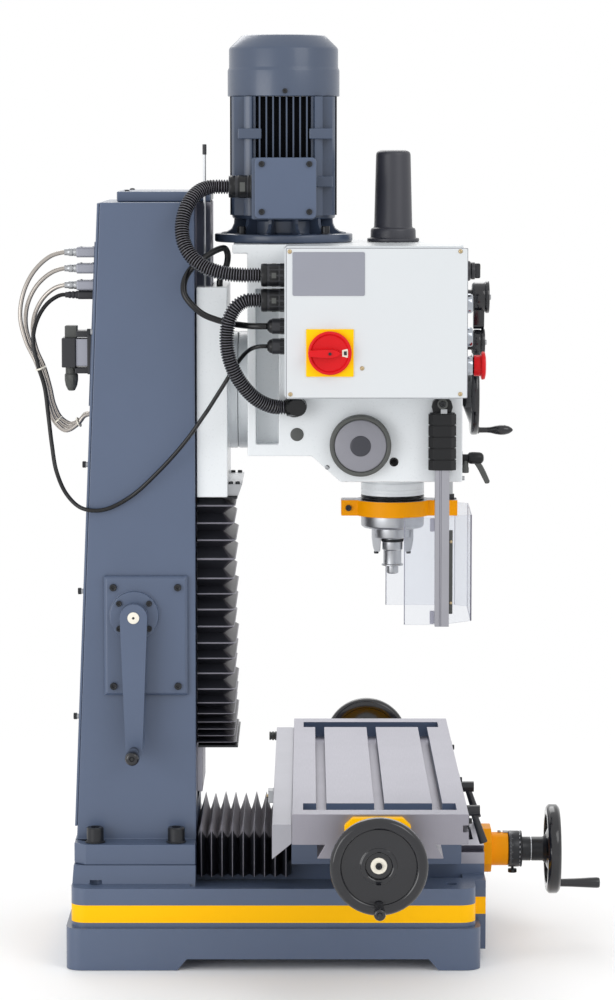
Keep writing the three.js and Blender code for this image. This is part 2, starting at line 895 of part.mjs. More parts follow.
function crank() {
  const outer = crankSeatX - seat;
  const arm = [
    [crankY - crankArmHubWidth / 2, crankZ], [crankY - crankArmEndWidth / 2, crankZ - crankArmLength],
    [crankY + crankArmEndWidth / 2, crankZ - crankArmLength], [crankY + crankArmHubWidth / 2, crankZ],
  ];
  const armBack = outer - crankHubLength + crankArmThickness;
  const pinion = bevelProfile(bevelPitchRadius,
    bevelPitchRadius * bevelRatio).map(([r, d]) => [r, -d]).reverse();
  return join(
    rod('x', crankArmHubWidth / 2, outer - crankHubLength, outer, crankY, crankZ),
    prism('x', arm.reverse(), outer - crankHubLength, armBack),
    rod('x', crankArmEndWidth / 2, outer - crankHubLength, armBack, crankY, crankZ - crankArmLength,
      smallSides),
    rod('x', crankShaftRadius, outer - overrun, -bevelPitchRadius * bevelRatio, crankY, crankZ,
      smallSides),
    turned('x', pinion, crankY, crankZ, smallSides));
}

function revolvingHandle(axis, start, length, neck, tail, a, b) {
  const step = Math.sign(length) * seat;
  const profile = [
    [neck, start + step], [neck, start + length * handleNeckShare],
    [tail, start + length * handleSwellShare],
    [tail, start + length * handleEndShare], [tail * handleEndShare, start + length],
  ];
  return turned(axis, length > 0 ? profile : profile.reverse(), a, b, smallSides);
}

add('z_crank', 'slatePaint', crank());
add('z_crank_handle', 'blackGloss', revolvingHandle('x', crankSeatX - seat - crankHubLength,
  -crankHandleLength,
  crankHandleTailRadius, crankHandleRadius, crankY, crankZ - crankArmLength));

function liftScrew() {
  const gear = bevelProfile(bevelGearRadius, bevelPitchRadius).map(([r, d]) => [r, crankZ - d]).reverse();
  return join(
    rod('z', liftScrewRadius, chamberBottomZ - liftScrewRadius + seat, columnTopZ, 0, crankY, smallSides),
    turned('z', gear, 0, crankY));
}

add('z_leadscrew', 'groundSteel', liftScrew());

// Saddle: it rides the base ways and carries the table's dovetail

// The table's dovetail and the channel for its screw, in the plane across the table.
function tableDovetailOutline(gap) {
  const top = tableDovetailTopHalf + gap;
  const bottom = tableDovetailBottomHalf + gap;
  return [
    [tableY - bottom, tableDovetailZ - gap], [tableY + bottom, tableDovetailZ - gap],
    [tableY + top, tablePlateZ], [tableY + top, tablePlateZ + overrun],
    [tableY - top, tablePlateZ + overrun], [tableY - top, tablePlateZ],
  ];
}

function saddle() {
  const body = block(-saddleHalfWidth, saddleHalfWidth, saddleFrontY, saddleRearY, wayLedgeZ + seat,
    saddleTopZ);
  const tunnel = block(-screwChannelHalfWidth, screwChannelHalfWidth, saddleFrontY - overrun,
    saddleRearY + overrun,
    0, saddleTunnelTopZ);
  const ways = prism('y', wayOutline(slideClearance), saddleFrontY - overrun, saddleRearY + overrun);
  const table = prism('x', tableDovetailOutline(slideClearance), -saddleHalfWidth - overrun,
    saddleHalfWidth + overrun);
  const nutRear = saddleRearY - saddleNutLength / 2;
  const crossNut = block(-saddleNutHalfWidth, saddleNutHalfWidth, nutRear - saddleNutLength, nutRear,
    crossScrewZ - saddleNutHalfWidth, saddleTunnelTopZ + overrun);
  const tableNut = block(-saddleNutLength / 2, saddleNutLength / 2, tableScrewY - tableNutHalfWidth,
    tableScrewY + tableNutHalfWidth, tableDovetailZ - overrun, tableDovetailZ + tableNutRise);
  const bore = crossScrewRadius + boreClearance;
  const crossBore = rod('y', bore, saddleFrontY - overrun, saddleRearY + overrun, crossScrewZ, 0);
  const tableBore = rod('x', bore, -saddleHalfWidth - overrun, saddleHalfWidth + overrun, tableScrewY,
    tableScrewZ);
  return cut(join(cut(body, tunnel, ways, table), crossNut, tableNut), crossBore, tableBore);
}

add('saddle', 'slatePaint', saddle());

// Table, with its T-slots, end troughs and the channel for the screw

function tSlot(y) {
  const half = tableLength / 2 - troughFromEnd;
  const headTop = tableTopHeight - slotThroat;
  const outline = [
    [y - slotWidth / 2, tableTopHeight + overrun], [y - slotWidth / 2, headTop],
    [y - slotHeadWidth / 2, headTop], [y - slotHeadWidth / 2, headTop - slotHeadHeight],
    [y + slotHeadWidth / 2, headTop - slotHeadHeight], [y + slotHeadWidth / 2, headTop],
    [y + slotWidth / 2, headTop], [y + slotWidth / 2, tableTopHeight + overrun],
  ];
  return prism('x', outline, -half, half);
}

function tableBody() {
  const half = tableLength / 2;
  const plate = block(-half, half, tableFrontY, tableRearY, tablePlateZ, tableTopHeight);
  const dovetail = prism('x', tableDovetailOutline(0), -half, half);
  const channel = block(-half - overrun, half + overrun, tableScrewY - tableChannelHalfWidth,
    tableScrewY + tableChannelHalfWidth, tableDovetailZ - overrun, tableDovetailZ + tableChannelHeight);
  const reach = slotPitch + slotWidth / 2 + troughOverhang;
  const troughs = [-1, 1].map((side) => {
    const outer = side * (half - troughFromEnd);
    const inner = side * (half - troughFromEnd - troughWidth);
    return block(outer, inner, tableY - reach, tableY + reach, tableTopHeight - troughDepth,
      tableTopHeight + overrun);
  });
  const slots = [-1, 0, 1].map((row) => tSlot(tableY + row * slotPitch));
  const stopSlotTop = tableTopHeight - stopSlotDrop + stopSlotWidth / 2;
  const stopSlot = block(-half - overrun, half + overrun, tableFrontY - overrun,
    tableFrontY + stopSlotDepth,
    stopSlotTop - stopSlotWidth, stopSlotTop);
  return cut(join(plate, dovetail), channel, stopSlot, ...troughs, ...slots);
}

add('table', 'groundSteel', tableBody());

function scaleCover() {
  const inner = tableRearY + seat;
  const outline = [
    [inner, tableTopHeight - scaleInnerDrop], [inner + scaleWidth, tableTopHeight - scaleOuterDrop],
    [inner + scaleWidth, tableTopHeight - scaleTopDrop], [inner, tableTopHeight - scaleTopDrop],
  ];
  return prism('x', outline, -tableLength / 2, tableLength / 2);
}

add('table_scale_cover', 'whitePaint', scaleCover());

// Screw ends, drawn with the screw along z and the machine's up along y

function screwBracket() {
  const flange = prism('z',
    chamferedOutline(-flangeWidth / 2, flangeWidth / 2, -flangeBottom, flangeTop, flangeChamfer), 0,
    flangeThickness);
  const barrel = rod('z', barrelRadius, flangeThickness - overrun, barrelEnd, 0, 0);
  const bore = rod('z', crossScrewRadius + boreClearance, -overrun, barrelEnd + overrun, 0, 0);
  return cut(join(flange, barrel), bore);
}

// The dial and the toothed clutch sleeve on the end of a screw.
function screwEndProfile() {
  return [
    [crossScrewRadius, barrelEnd + seat], [dialRadius, barrelEnd + seat], [dialRadius, dialEnd],
    [sleeveRadius, dialEnd], [sleeveRadius, sleeveEnd],
  ];
}

function handwheel() {
  const rimInner = wheelRadius - wheelRimWidth;
  const webFront = rimEnd - wheelWebSetback;
  const profile = [
    [sleeveRadius, sleeveEnd + seat], [wheelHubRadius, rimStart], [rimInner, webFront - wheelWebThickness],
    [rimInner, rimStart], [wheelRadius - wheelHubRecess, rimStart],
    [wheelRadius, rimStart + wheelHubRecess],
    [wheelRadius, rimEnd - wheelHubRecess], [wheelRadius - wheelHubRecess, rimEnd], [rimInner, rimEnd],
    [rimInner, webFront], [wheelHubRadius, webFront - wheelHubRecess],
    [wheelHubRecessRadius, webFront - wheelHubRecess],
    [wheelHubRecessRadius, webFront - 2 * wheelHubRecess],
  ];
  return turned('z', profile, 0, 0, wheelSides);
}

// A screw end stands on a face: the group's z points out of it and its y points up.
function screwEnd(x, y, z, turn) {
  const end = new THREE.Group();
  end.position.set(x, y, z);
  end.quaternion.setFromRotationMatrix(new THREE.Matrix4().makeBasis(
    new THREE.Vector3(Math.cos(turn), Math.sin(turn), 0), new THREE.Vector3(0, 0, 1),
    new THREE.Vector3(Math.sin(turn), -Math.cos(turn), 0)));
  machine.add(end);
  return end;
}

function dressScrewEnd(end, prefix, side) {
  add(`${prefix}_bracket${side}`, 'yellowPaint', screwBracket(), end);
  add(`${prefix}_handwheel${side}`, 'blackGloss', handwheel(), end);
  add(`${prefix}_handle${side}`, 'blackGloss',
    revolvingHandle('z', rimEnd, wheelHandleLength, wheelHandleNeckRadius, wheelHandleRadius, 0,
      -wheelHandleOrbit), end);
}

const screwEnds = [
  [screwEnd(-tableLength / 2 - seat, tableScrewY, tableScrewZ, -Math.PI / 2), 'x', '_left'],
  [screwEnd(tableLength / 2 + seat, tableScrewY, tableScrewZ, Math.PI / 2), 'x', '_right'],
  [screwEnd(0, noseY - seat, crossScrewZ, 0), 'y', ''],
];
for (const [end, prefix, side] of screwEnds) dressScrewEnd(end, prefix, side);

function tableScrew() {
  const face = tableLength / 2 + seat;
  const right = screwEndProfile().map(([r, d]) => [r, face + d]);
  const left = screwEndProfile().map(([r, d]) => [r, -face - d]).reverse();
  return turned('x', [...left, ...right], tableScrewY, tableScrewZ);
}

function crossScrew() {
  const inner = [crossScrewRadius, noseY + baseAheadOfColumnFront - screwChannelHalfWidth];
  const outer = screwEndProfile().map(([r, d]) => [r, noseY - seat - d]).reverse();
  return turned('y', [...outer, inner], crossScrewZ, 0);
}

add('x_leadscrew', 'groundSteel', tableScrew());
add('y_leadscrew', 'groundSteel', crossScrew());

// Head carriage

function headCarriage() {
  const plate = block(-carriageHalfWidth, carriageHalfWidth, carriageFrontY,
    columnFrontY - carriageBackGap,
    carriageBottomZ, carriageTopZ);
  const dovetail = prism('z', dovetailOutline(slideClearance), carriageBottomZ - overrun,
    carriageTopZ + overrun);
  const nutTop = liftNutBottomZ + liftNutHeight;
  const nutRear = crankY + liftScrewRadius + liftNutWall - boreClearance;
  const nut = cut(
    block(-liftNutHalfWidth, liftNutHalfWidth, carriageFrontY + overrun, nutRear, liftNutBottomZ, nutTop),
    rod('z', liftScrewRadius + boreClearance, liftNutBottomZ - overrun, nutTop + overrun, 0, crankY));
  const ring = rod('y', swivelRadius, swivelPlaneY, carriageFrontY + overrun, swivelZ, 0, wheelSides);
  const pin = rod('y', swivelPinRadius, swivelPlaneY - swivelPinLength, swivelPlaneY + overrun, swivelZ,
    0);
  const scaleRod = rod('z', scaleRodRadius, carriageTopZ - overrun, scaleRodTopZ,
    scaleRodFromEdge - carriageHalfWidth, columnFrontY - scaleRodFromEdge, ribPoints);
  return join(cut(plate, dovetail), nut, ring, pin, scaleRod);
}

add('head_carriage', 'whitePaint', headCarriage());

// Head casting: it swivels on the carriage and holds the quill

function headOutline() {
  const chinFrontY = headRearY - chinStartFromRear;
  return [
    [headFrontY, headBottomZ], [chinFrontY - chinLength, headBottomZ], [chinFrontY, chinZ],
    [headRearY, chinZ],
    [headRearY, headTopZ - deckThickness], [headRearY + deckOverhang, headTopZ - deckThickness],
    [headRearY + deckOverhang, headTopZ], [headFrontY, headTopZ],
  ];
}

function sidePocket(side) {
  const face = side * headHalfWidth;
  const floor = side * (headHalfWidth - pocketDepth);
  return block(face + side * overrun, floor, headRearY - pocketStart - pocketWidth,
    headRearY - pocketStart,
    pocketBottomZ, pocketTopZ);
}

function headBores() {
  return [
    rod('y', swivelPinRadius + boreClearance, swivelPlaneY - swivelPinLength - boreClearance,
      swivelPlaneY + overrun,
      swivelZ, 0),
    rod('z', quillRadius + boreClearance, 0, quillTopZ + boreClearance, 0, spindleY),
    rod('z', drawbarBoreRadius, quillTopZ - overrun, headTopZ + overrun, 0, spindleY, smallSides),
    rod('z', stopRodRadius + boreClearance, 0, stopRodBoreTopZ, 0, stopRodY, smallSides),
  ];
}

function headCasting() {
  const body = prism('x', headOutline(), -headHalfWidth, headHalfWidth);
  const ring = rod('y', swivelRadius, headRearY - overrun, swivelPlaneY - seat, swivelZ, 0, wheelSides);
  const quillBoss = rod('z', quillBossRadius, quillBossBottomZ, headBottomZ + overrun, 0, spindleY);
  const wormBoss = rod('y', fineFeedHubRadius, headFrontY - fineFeedBossLength, headFrontY + overrun,
    fineFeedZ, fineFeedX, smallSides);
  const shafts = speedLeverZs.map((z) => rod('y', speedLeverShaftRadius, headFrontY - speedLeverStandoff,
    headFrontY + overrun, z, speedLeverX, smallSides));
  const grommetX = -headHalfWidth - grommetReach;
  const grommet = join(
    rod('x', grommetRadius, grommetX - grommetRadius, overrun - headHalfWidth, grommetY, grommetZ,
      smallSides),
    rod('y', grommetRadius, grommetY, grommetY + grommetLength, grommetZ, grommetX, smallSides));
  return cut(join(body, ring, quillBoss, wormBoss, grommet, ...shafts), sidePocket(-1), sidePocket(1),
    ...headBores());
}

add('head_casting', 'whitePaint', headCasting());

function drawbarCover() {
  const foot = headTopZ + seat;
  const neck = foot + drawbarCoverFlangeHeight;
  const top = foot + drawbarCoverHeight;
  const outside = [
    [drawbarCoverFlangeRadius, foot], [drawbarCoverFlangeRadius, neck], [drawbarCoverRadiusBottom, neck],
    [drawbarCoverRadiusTop, top - drawbarCoverWall], [drawbarCoverRadiusTop - drawbarCoverWall, top],
  ];
  const hollow = rod('z', drawbarBoreRadius - drawbarCoverWall / 2, foot - overrun,
    top - 2 * drawbarCoverWall,
    0, spindleY);
  return cut(turned('z', outside, 0, spindleY), hollow);
}

add('drawbar_cover', 'blackMatt', drawbarCover());

// Quill, spindle and depth stop

function quill() {
  const profile = [
    [quillNoseRadius - quillNoseBevel, quillNoseBottomZ],
    [quillNoseRadius, quillNoseBottomZ + quillNoseBevel],
    [quillNoseRadius, quillNoseTopZ - seat], [quillRadius, quillNoseTopZ - seat], [quillRadius, quillTopZ],
  ];
  const bore = rod('z', spindleRadius + boreClearance, 0, headTopZ, 0, spindleY);
  return cut(turned('z', profile, 0, spindleY), bore);
}

add('quill', 'groundSteel', quill());

function spindle() {
  const profile = [
    [arborTipRadius, arborTipBottomZ], [arborTipRadius, arborNeckBottomZ - arborFlangeThickness],
    [arborFlangeRadius, arborNeckBottomZ - arborFlangeThickness], [arborFlangeRadius, arborNeckBottomZ],
    [arborNeckRadius, arborNeckBottomZ], [arborNeckRadius, arborBottomZ], [arborRadius, arborBottomZ],
    [arborRadius, spindleGrooveZ], [spindleGrooveRadius, spindleGrooveZ],
    [spindleGrooveRadius, spindleNoseBottomZ],
    [spindleNoseRadius, spindleNoseBottomZ], [spindleNoseRadius, quillNoseBottomZ - seat],
    [spindleRadius, quillNoseBottomZ - seat], [spindleRadius, quillTopZ], [drawbarRadius, quillTopZ],
    [drawbarRadius, drawbarTopZ],
  ];
  const dogs = [-1, 1].map((side) => {
    const inner = spindleY + side * (spindleNoseRadius - driveDogDepth);
    const outer = spindleY + side * (spindleNoseRadius + driveDogDepth);
    return block(-driveDogWidth / 2, driveDogWidth / 2, inner, outer, driveDogBottomZ,
      quillNoseBottomZ - 2 * seat);
  });
  return join(turned('z', profile, 0, spindleY), ...dogs);
}

add('spindle', 'groundSteel', spindle());

function stopClamp() {
  const ear = stopClampEarHalfWidth;
  const arms = block(-ear, ear, spindleY - stopClampFrontFromSpindle, spindleY + stopClampRearFromSpindle,
    quillNoseTopZ, stopClampTopZ);
  const ring = rod('z', stopClampRadius, quillNoseTopZ, stopClampTopZ, 0, spindleY);
  const bore = rod('z', quillRadius + seat, 0, headTopZ, 0, spindleY);
  const rodHole = rod('z', stopRodRadius + boreClearance, quillNoseTopZ - overrun, headTopZ, 0,
    stopRodY, smallSides);
  return cut(join(ring, arms), bore, rodHole);
}

add('depth_stop_clamp', 'orangePaint', stopClamp());
add('depth_stop_rod', 'groundSteel', rod('z', stopRodRadius, quillNoseTopZ, stopRodTopZ, 0, stopRodY,
  smallSides));

// Motor

function finnedOutline() {
  const points = [];
  const tip = motorFinThickness / motorFinRadius / 2;
  const root = motorFinThickness / motorCoreRadius / 2;
  for (let fin = 0; fin < motorFinCount; fin += 1) {
    const middle = 2 * Math.PI * fin / motorFinCount;
    const corners = [[motorCoreRadius, -root], [motorFinRadius, -tip], [motorFinRadius, tip],
      [motorCoreRadius, root]];
    for (const [radius, turn] of corners) {
      points.push([radius * Math.cos(middle + turn), motorY + radius * Math.sin(middle + turn)]);
    }
  }
  return points;
}

function motorBody() {
  const foot = headTopZ + seat;
  const flange = rod('z', motorFlangeRadius, foot, foot + motorFlangeThickness, 0, motorY, wheelSides);
  const neck = rod('z', motorNeckRadius, foot, motorBodyZ + overrun, 0, motorY);
  const body = prism('z', finnedOutline(), motorBodyZ, motorTopZ);
  const pad = block(terminalFaceX + terminalDepth + seat, 0, motorY - terminalWidth * padShare,
    motorY + terminalWidth * padShare, terminalBottomZ, terminalBottomZ + terminalHeight);
  return join(flange, neck, body, pad);
}

add('motor_body', 'slatePaint', motorBody());

function motorCowl() {
  const foot = motorTopZ + seat;
  const groove = foot + cowlGrooveHeight;
  const top = foot + cowlHeight;
  const profile = [
    [cowlRadius, foot], [cowlRadius, groove], [cowlRadius - cowlGrooveDepth, groove],
    [cowlRadius - cowlGrooveDepth, top - cowlShoulderHeight], [cowlTopRadius, top],
  ];
  return turned('z', profile, 0, motorY, wheelSides);
}

add('motor_cowl', 'slatePaint', motorCowl());

// A gland on a face that looks along +Y: the conduit kind has a hexagonal nut, the cable kind a domed one.
function conduitGland(x, faceY, z) {
  return turned('y', [
    [conduitGlandRadius, faceY - overrun], [conduitGlandRadius, faceY + conduitGlandFlat],
    [conduitGlandRadius - seat, faceY + conduitGlandLength - boreClearance],
    [conduitRadius, faceY + conduitGlandLength],
  ], z, x, smallSides);
}

function cableGland(x, faceY, z, cableRadius) {
  return turned('y', [
    [cableGlandRadius, faceY - overrun], [cableGlandRadius, faceY + cableGlandLength * glandNutShare],
    [cableRadius, faceY + cableGlandLength],
  ], z, x, smallSides);
}

function terminalBox() {
  const rear = motorY + terminalWidth / 2;
  const box = block(terminalFaceX, terminalFaceX + terminalDepth, rear - terminalWidth, rear,
    terminalBottomZ, terminalBottomZ + terminalHeight);
  return join(box, conduitGland(terminalGlandX, rear, terminalGlandZ));
}

add('terminal_box', 'slatePaint', terminalBox());

// Electrical box with its glands, lid and the yellow plate behind the isolator

function electricalBox() {
  const lidX = boxFaceX + boxLidThickness;
  const body = prism('x', chamferedOutline(boxFrontY, boxRearY, boxBottomZ, boxTopZ, boxCorner), lidX,
    boxInnerX);
  const lid = prism('x', chamferedOutline(boxFrontY + boxLidMargin, boxRearY - boxLidMargin,
    boxBottomZ + boxLidMargin, boxTopZ - boxLidMargin, boxCorner), boxFaceX, lidX + overrun);
  const plateY = spindleY + isolatorFromSpindle;
  const half = isolatorPlateSize / 2;
  const plate = block(boxFaceX - isolatorPlateThickness, boxFaceX + overrun, plateY - half, plateY + half,
    isolatorZ - half, isolatorZ + half);
  const bezels = [...buttonZs, stopZ].map((z) => rod('y', buttonRadius, boxFrontY - buttonBezelLength,
    boxFrontY + overrun, z, controlsX, smallSides));
  const socketFloor = boxFrontY - buttonBezelLength + buttonCapDepth + buttonTravel + seat;
  const sockets = [...buttonZs, stopZ].map((z) => rod('y', buttonCapRadius + boreClearance,
    boxFrontY - buttonBezelLength - overrun, socketFloor, z, controlsX, smallSides));
  const glands = [
    conduitGland(glandX, boxRearY, glandZs[0]), conduitGland(glandX, boxRearY, glandZs[1]),
    cableGland(glandX, boxRearY, glandZs[2], limitCableRadius),
    cableGland(glandX, boxRearY, glandZs[3], headCableRadius),
  ];
  return cut(join(body, lid, plate, ...bezels, ...glands), ...sockets);
}

add('electrical_box', 'whitePaint', electricalBox());

// Controls on the box

function isolatorKnob() {
  const base = boxFaceX - isolatorPlateThickness - seat;
  const y = spindleY + isolatorFromSpindle;
  const disc = rod('x', isolatorDiscRadius, base - isolatorDiscThickness, base, y, isolatorZ);
  const reach = isolatorDiscRadius - isolatorGripWidth / 2;
  const grip = block(base - isolatorDiscThickness - isolatorGripHeight, base - overrun, y - reach,
    y + reach,
    isolatorZ - isolatorGripWidth / 2, isolatorZ + isolatorGripWidth / 2);
  return join(disc, grip);
}

add('isolator_knob', 'red', isolatorKnob());

function selectorKnob() {
  const face = boxFrontY - seat;
  const collar = rod('y', selectorRadius, face - selectorLength / 2, face, selectorZ, controlsX,
    smallSides);
  const half = selectorRadius * selectorGripShare;
  const grip = block(controlsX - half, controlsX + half,
    face - selectorLength, face - overrun, selectorZ - selectorRadius, selectorZ + selectorRadius);
  return join(collar, grip);
}

add('speed_selector', 'blackMatt', selectorKnob());

const buttonNames = ['start_button', 'stop_button'];
buttonZs.forEach((z, place) => {
  const face = boxFrontY - buttonBezelLength;
  add(buttonNames[place], 'chrome',
    rod('y', buttonCapRadius, face - buttonCapProud, face + buttonCapDepth, z, controlsX, smallSides));
});

function emergencyStop() {
  const bezel = boxFrontY - buttonBezelLength;
  const face = bezel - buttonTravel - seat;
  const head = face - stopStemLength;
  return turned('y', [
    [stopHeadRadius * headCrownShare, head - stopHeadLength], [stopHeadRadius, head - stopHeadLength / 2],
    [stopHeadRadius, head], [stopStemRadius, head], [stopStemRadius, face],
    [buttonCapRadius, face], [buttonCapRadius, bezel + buttonCapDepth],
  ], stopZ, controlsX);
}

add('emergency_stop', 'red', emergencyStop());

// Speed levers, fine feed wheel and quill lock on the front of the head

function speedLever(z, radius) {
  const back = headFrontY - speedLeverStandoff - seat;
  const front = back - speedLeverHubLength;
  const hub = rod('y', radius, front, back, z, speedLeverX, wheelSides);
  const half = speedLeverArmWidth / 2;
  const arm = block(speedLeverX - half, speedLeverX + half, front - speedLeverArmThickness,
    front + overrun,
    z - speedLeverArmLength + radius, z + radius);
  return join(hub, arm);
}

const speedLeverNames = ['speed_lever_upper', 'speed_lever_lower'];
speedLeverZs.forEach((z, place) => {
  add(speedLeverNames[place], 'blackMatt', speedLever(z, speedLeverHubRadii[place]));
});

function fineFeedWheel() {
  const back = headFrontY - fineFeedBossLength - seat;
  const rim = back - fineFeedHubLength;
  const front = rim - fineFeedRimThickness;
  const inner = fineFeedRadius - fineFeedRimWidth;
  const web = rim - fineFeedRimThickness / 2;
  const wheel = turned('y', [
    [fineFeedHubRadius / 2, front], [fineFeedHubRadius, web], [inner, web], [inner, front],
    [fineFeedRadius, front],
    [fineFeedRadius, rim], [inner, rim], [fineFeedHubRadius, rim],
    [fineFeedHubRadius * hubNeckShare, back],
  ], fineFeedZ, fineFeedX, wheelSides);
  const handle = turned('y', [
    [leverHubRadius, front - fineFeedHandleLength], [fineFeedHandleNeck, front - fineFeedHandleLength / 2],
    [fineFeedHandleNeck, front + overrun],
  ], fineFeedZ - fineFeedHandleOrbit, fineFeedX, smallSides);
  return join(wheel, handle);
}

add('fine_feed_wheel', 'blackGloss', fineFeedWheel());

// A clamp lever: a hub on a stud, with an arm that hangs down and splays away from the face.
function clampLever(x, faceY, z) {
  const stud = rod('y', leverStudRadius, faceY - leverStudLength, faceY - seat, z, x, smallSides);
  const hub = rod('y', leverHubRadius, faceY - leverStudLength - leverHubLength,
    faceY - leverStudLength + seat, z, x,
    smallSides);
  const middle = faceY - leverStudLength - leverHubLength / 2;
  const arm = new THREE.CylinderGeometry(leverArmRadius * armTaperShare, leverArmRadius, leverArmLength,
    smallSides);
  arm.rotateX(Math.PI / 2 - Math.atan2(leverArmSplay, leverArmLength));
  arm.translate(x, middle - leverArmSplay / 2, z - leverArmLength / 2);
  return join(stud, hub, arm);
}

add('quill_lock_lever', 'blackMatt', clampLever(quillLockX, headFrontY, quillLockZ));
add('table_lock_lever_left', 'blackMatt', clampLever(-clampLeverX, saddleFrontY, clampLeverZ));
add('table_lock_lever_right', 'blackMatt', clampLever(clampLeverX, saddleFrontY, clampLeverZ));

// Quill feed

function springCap() {
  const face = -headHalfWidth - seat;
  const front = face - springCapLength;
  return turned('x', [
    [springCentreRadius, front - springDiscRecess], [springCentreRadius, front + springDiscRecess],
    [springDiscRadius, front + springDiscRecess], [springDiscRadius, front],
    [springCapRadius - springCapBevel, front],
    [springCapRadius, front + springCapBevel], [springCapRadius, face],
  ], spindleY + feedAxisFromSpindle, feedAxisZ);
}

add('quill_spring_cap', 'blackGloss', springCap());

function feedLever() {
  const face = headHalfWidth + seat;
  const y = spindleY + feedAxisFromSpindle;
  const hub = turned('x', [
    [feedCollarRadius, face], [feedCollarRadius, face + feedCollarLength],
    [feedHubRadius, face + feedCollarLength],
    [feedHubRadius, face + feedHubLength],
  ], y, feedAxisZ);
  const pieces = [];
  for (let spoke = 0; spoke < spokeCount; spoke += 1) {
    const arm = new THREE.CylinderGeometry(spokeRadius, spokeRadius, spokeLength, knobSides);
    arm.translate(0, spokeLength / 2, 0);
    const knob = new THREE.SphereGeometry(spokeKnobRadius, knobSides, knobSides * knobRingShare);
    knob.translate(0, spokeLength, 0);
    for (const piece of [arm, knob]) {
      piece.rotateZ(-Math.atan(spokeSplayShare));
      piece.rotateX(2 * Math.PI * spoke / spokeCount);
      piece.translate(face + (feedHubLength + feedCollarLength) / 2, y, feedAxisZ);
      pieces.push(piece);
    }
  }
  return join(hub, ...pieces);
}

add('quill_feed_lever', 'blackGloss', feedLever());

// Chip guard

function guardHousing() {
  const back = -headHalfWidth - seat;
  const outline = (inset) => chamferedOutline(guardPostY - guardHousingWidth / 2 + inset,
    guardPostY + guardHousingWidth / 2 - inset, back - guardHousingDepth + inset, back,
    guardHousingChamfer);
  const swap = (points) => points.map(([y, x]) => [x, y]).reverse();
  const height = guardHousingTopZ - guardPostTopZ;
  const core = prism('z', swap(outline(guardGroove)), guardPostTopZ, guardHousingTopZ);
  const pitch = height / guardHousingRings;
  const rings = [];
  for (let ring = 0; ring < guardHousingRings; ring += 1) {
    const low = guardPostTopZ + pitch * ring;
    rings.push(prism('z', swap(outline(0)), low, low + pitch - guardGroove));
  }
  const ear = rod('x', guardEarRadius, back - guardHousingDepth / 2, back, guardPostY,
    guardHousingTopZ + guardEarRise,
    smallSides);
  return join(core, ...rings, ear);
}

add('guard_housing', 'blackMatt', guardHousing());

function guardPost() {
  const half = guardPostSize / 2;
  const post = block(guardPostX - half, guardPostX + half, guardPostY - half, guardPostY + half,
    guardPostBottomZ, guardPostTopZ - seat);
  const grooves = [-1, 1].map((side) => block(
    guardPostX - guardGroove, guardPostX + guardGroove, guardPostY + side * half - guardGroove,
    guardPostY + side * half + guardGroove, guardPostBottomZ - overrun, guardPostTopZ - guardPostSize));
  return cut(post, ...grooves);
}

add('guard_post', 'aluminium', guardPost());

// The screen in plan: two legs and a front joined by cut corners, at one wall thickness.
function guardScreen() {
  const outline = (inset) => {
    const near = guardNearX + inset;
    const far = guardFarX - inset;
    const front = guardFrontY + inset;
    const corner = guardCorner - inset * Math.tan(Math.PI / 8);
    return [
      [near, spindleY - guardNearLegFromSpindle], [near, front + corner], [near + corner, front],
      [far - corner, front], [far, front + corner], [far, spindleY - guardFarLegFromSpindle],
    ];
  };
  return prism('z', [...outline(0), ...outline(guardThickness).reverse()], guardBottomZ, guardTopZ);
}

add('guard_screen', 'clear', guardScreen());

// Way bellows: a folded channel over the ways, drawn as rings from end to end

function bellowsRing(halfWidth, depth, wall) {
  return [
    [-halfWidth, 0], [-halfWidth, depth], [halfWidth, depth], [halfWidth, 0],
    [halfWidth - wall, 0], [halfWidth - wall, depth - wall], [wall - halfWidth, depth - wall],
    [wall - halfWidth, 0],
  ];
}

function bellowsRings(pleats, halfWidth, depth, pleat, from, to, place) {
  const rings = [];
  const folds = 2 * pleats;
  for (let fold = 0; fold <= folds; fold += 1) {
    const tuck = fold % 2 === 0 ? 0 : pleat;
    const at = from + (to - from) * fold / folds;
    rings.push(bellowsRing(halfWidth - tuck, depth - tuck, bellowsWall).map(([a, b]) => place(a, b, at)));
  }
  return rings;
}

const columnBellows = loft(
  bellowsRings(columnBellowsPleats, columnBellowsHalfWidth, columnBellowsDepth - bellowsFloorGap,
    columnBellowsPleat, columnBellowsBottomZ, carriageBottomZ - seat,
    (a, b, at) => [a, columnFrontY - bellowsFloorGap - b, at]),
  ([x, y]) => [x, y]);
add('z_bellows', 'rubber', columnBellows);

const baseBellowsFoot = baseHeight + bellowsFloorGap;
const baseBellows = loft(
  bellowsRings(baseBellowsPleats, baseBellowsHalfWidth, baseBellowsTopZ - baseBellowsFoot,
    baseBellowsPleat,
    saddleRearY + seat, columnFrontY - seat, (a, b, at) => [a, at, baseBellowsFoot + b]),
  ([x, , z]) => [-x, z]);
add('y_bellows', 'rubber', baseBellows);

// Connectors on the back of the column

function columnRearY(z) {
  const share = (z - columnBottomZ) / (columnTopZ - columnBottomZ);
  return columnFrontY + columnDepthBottom + (columnDepthTop - columnDepthBottom) * share;
}

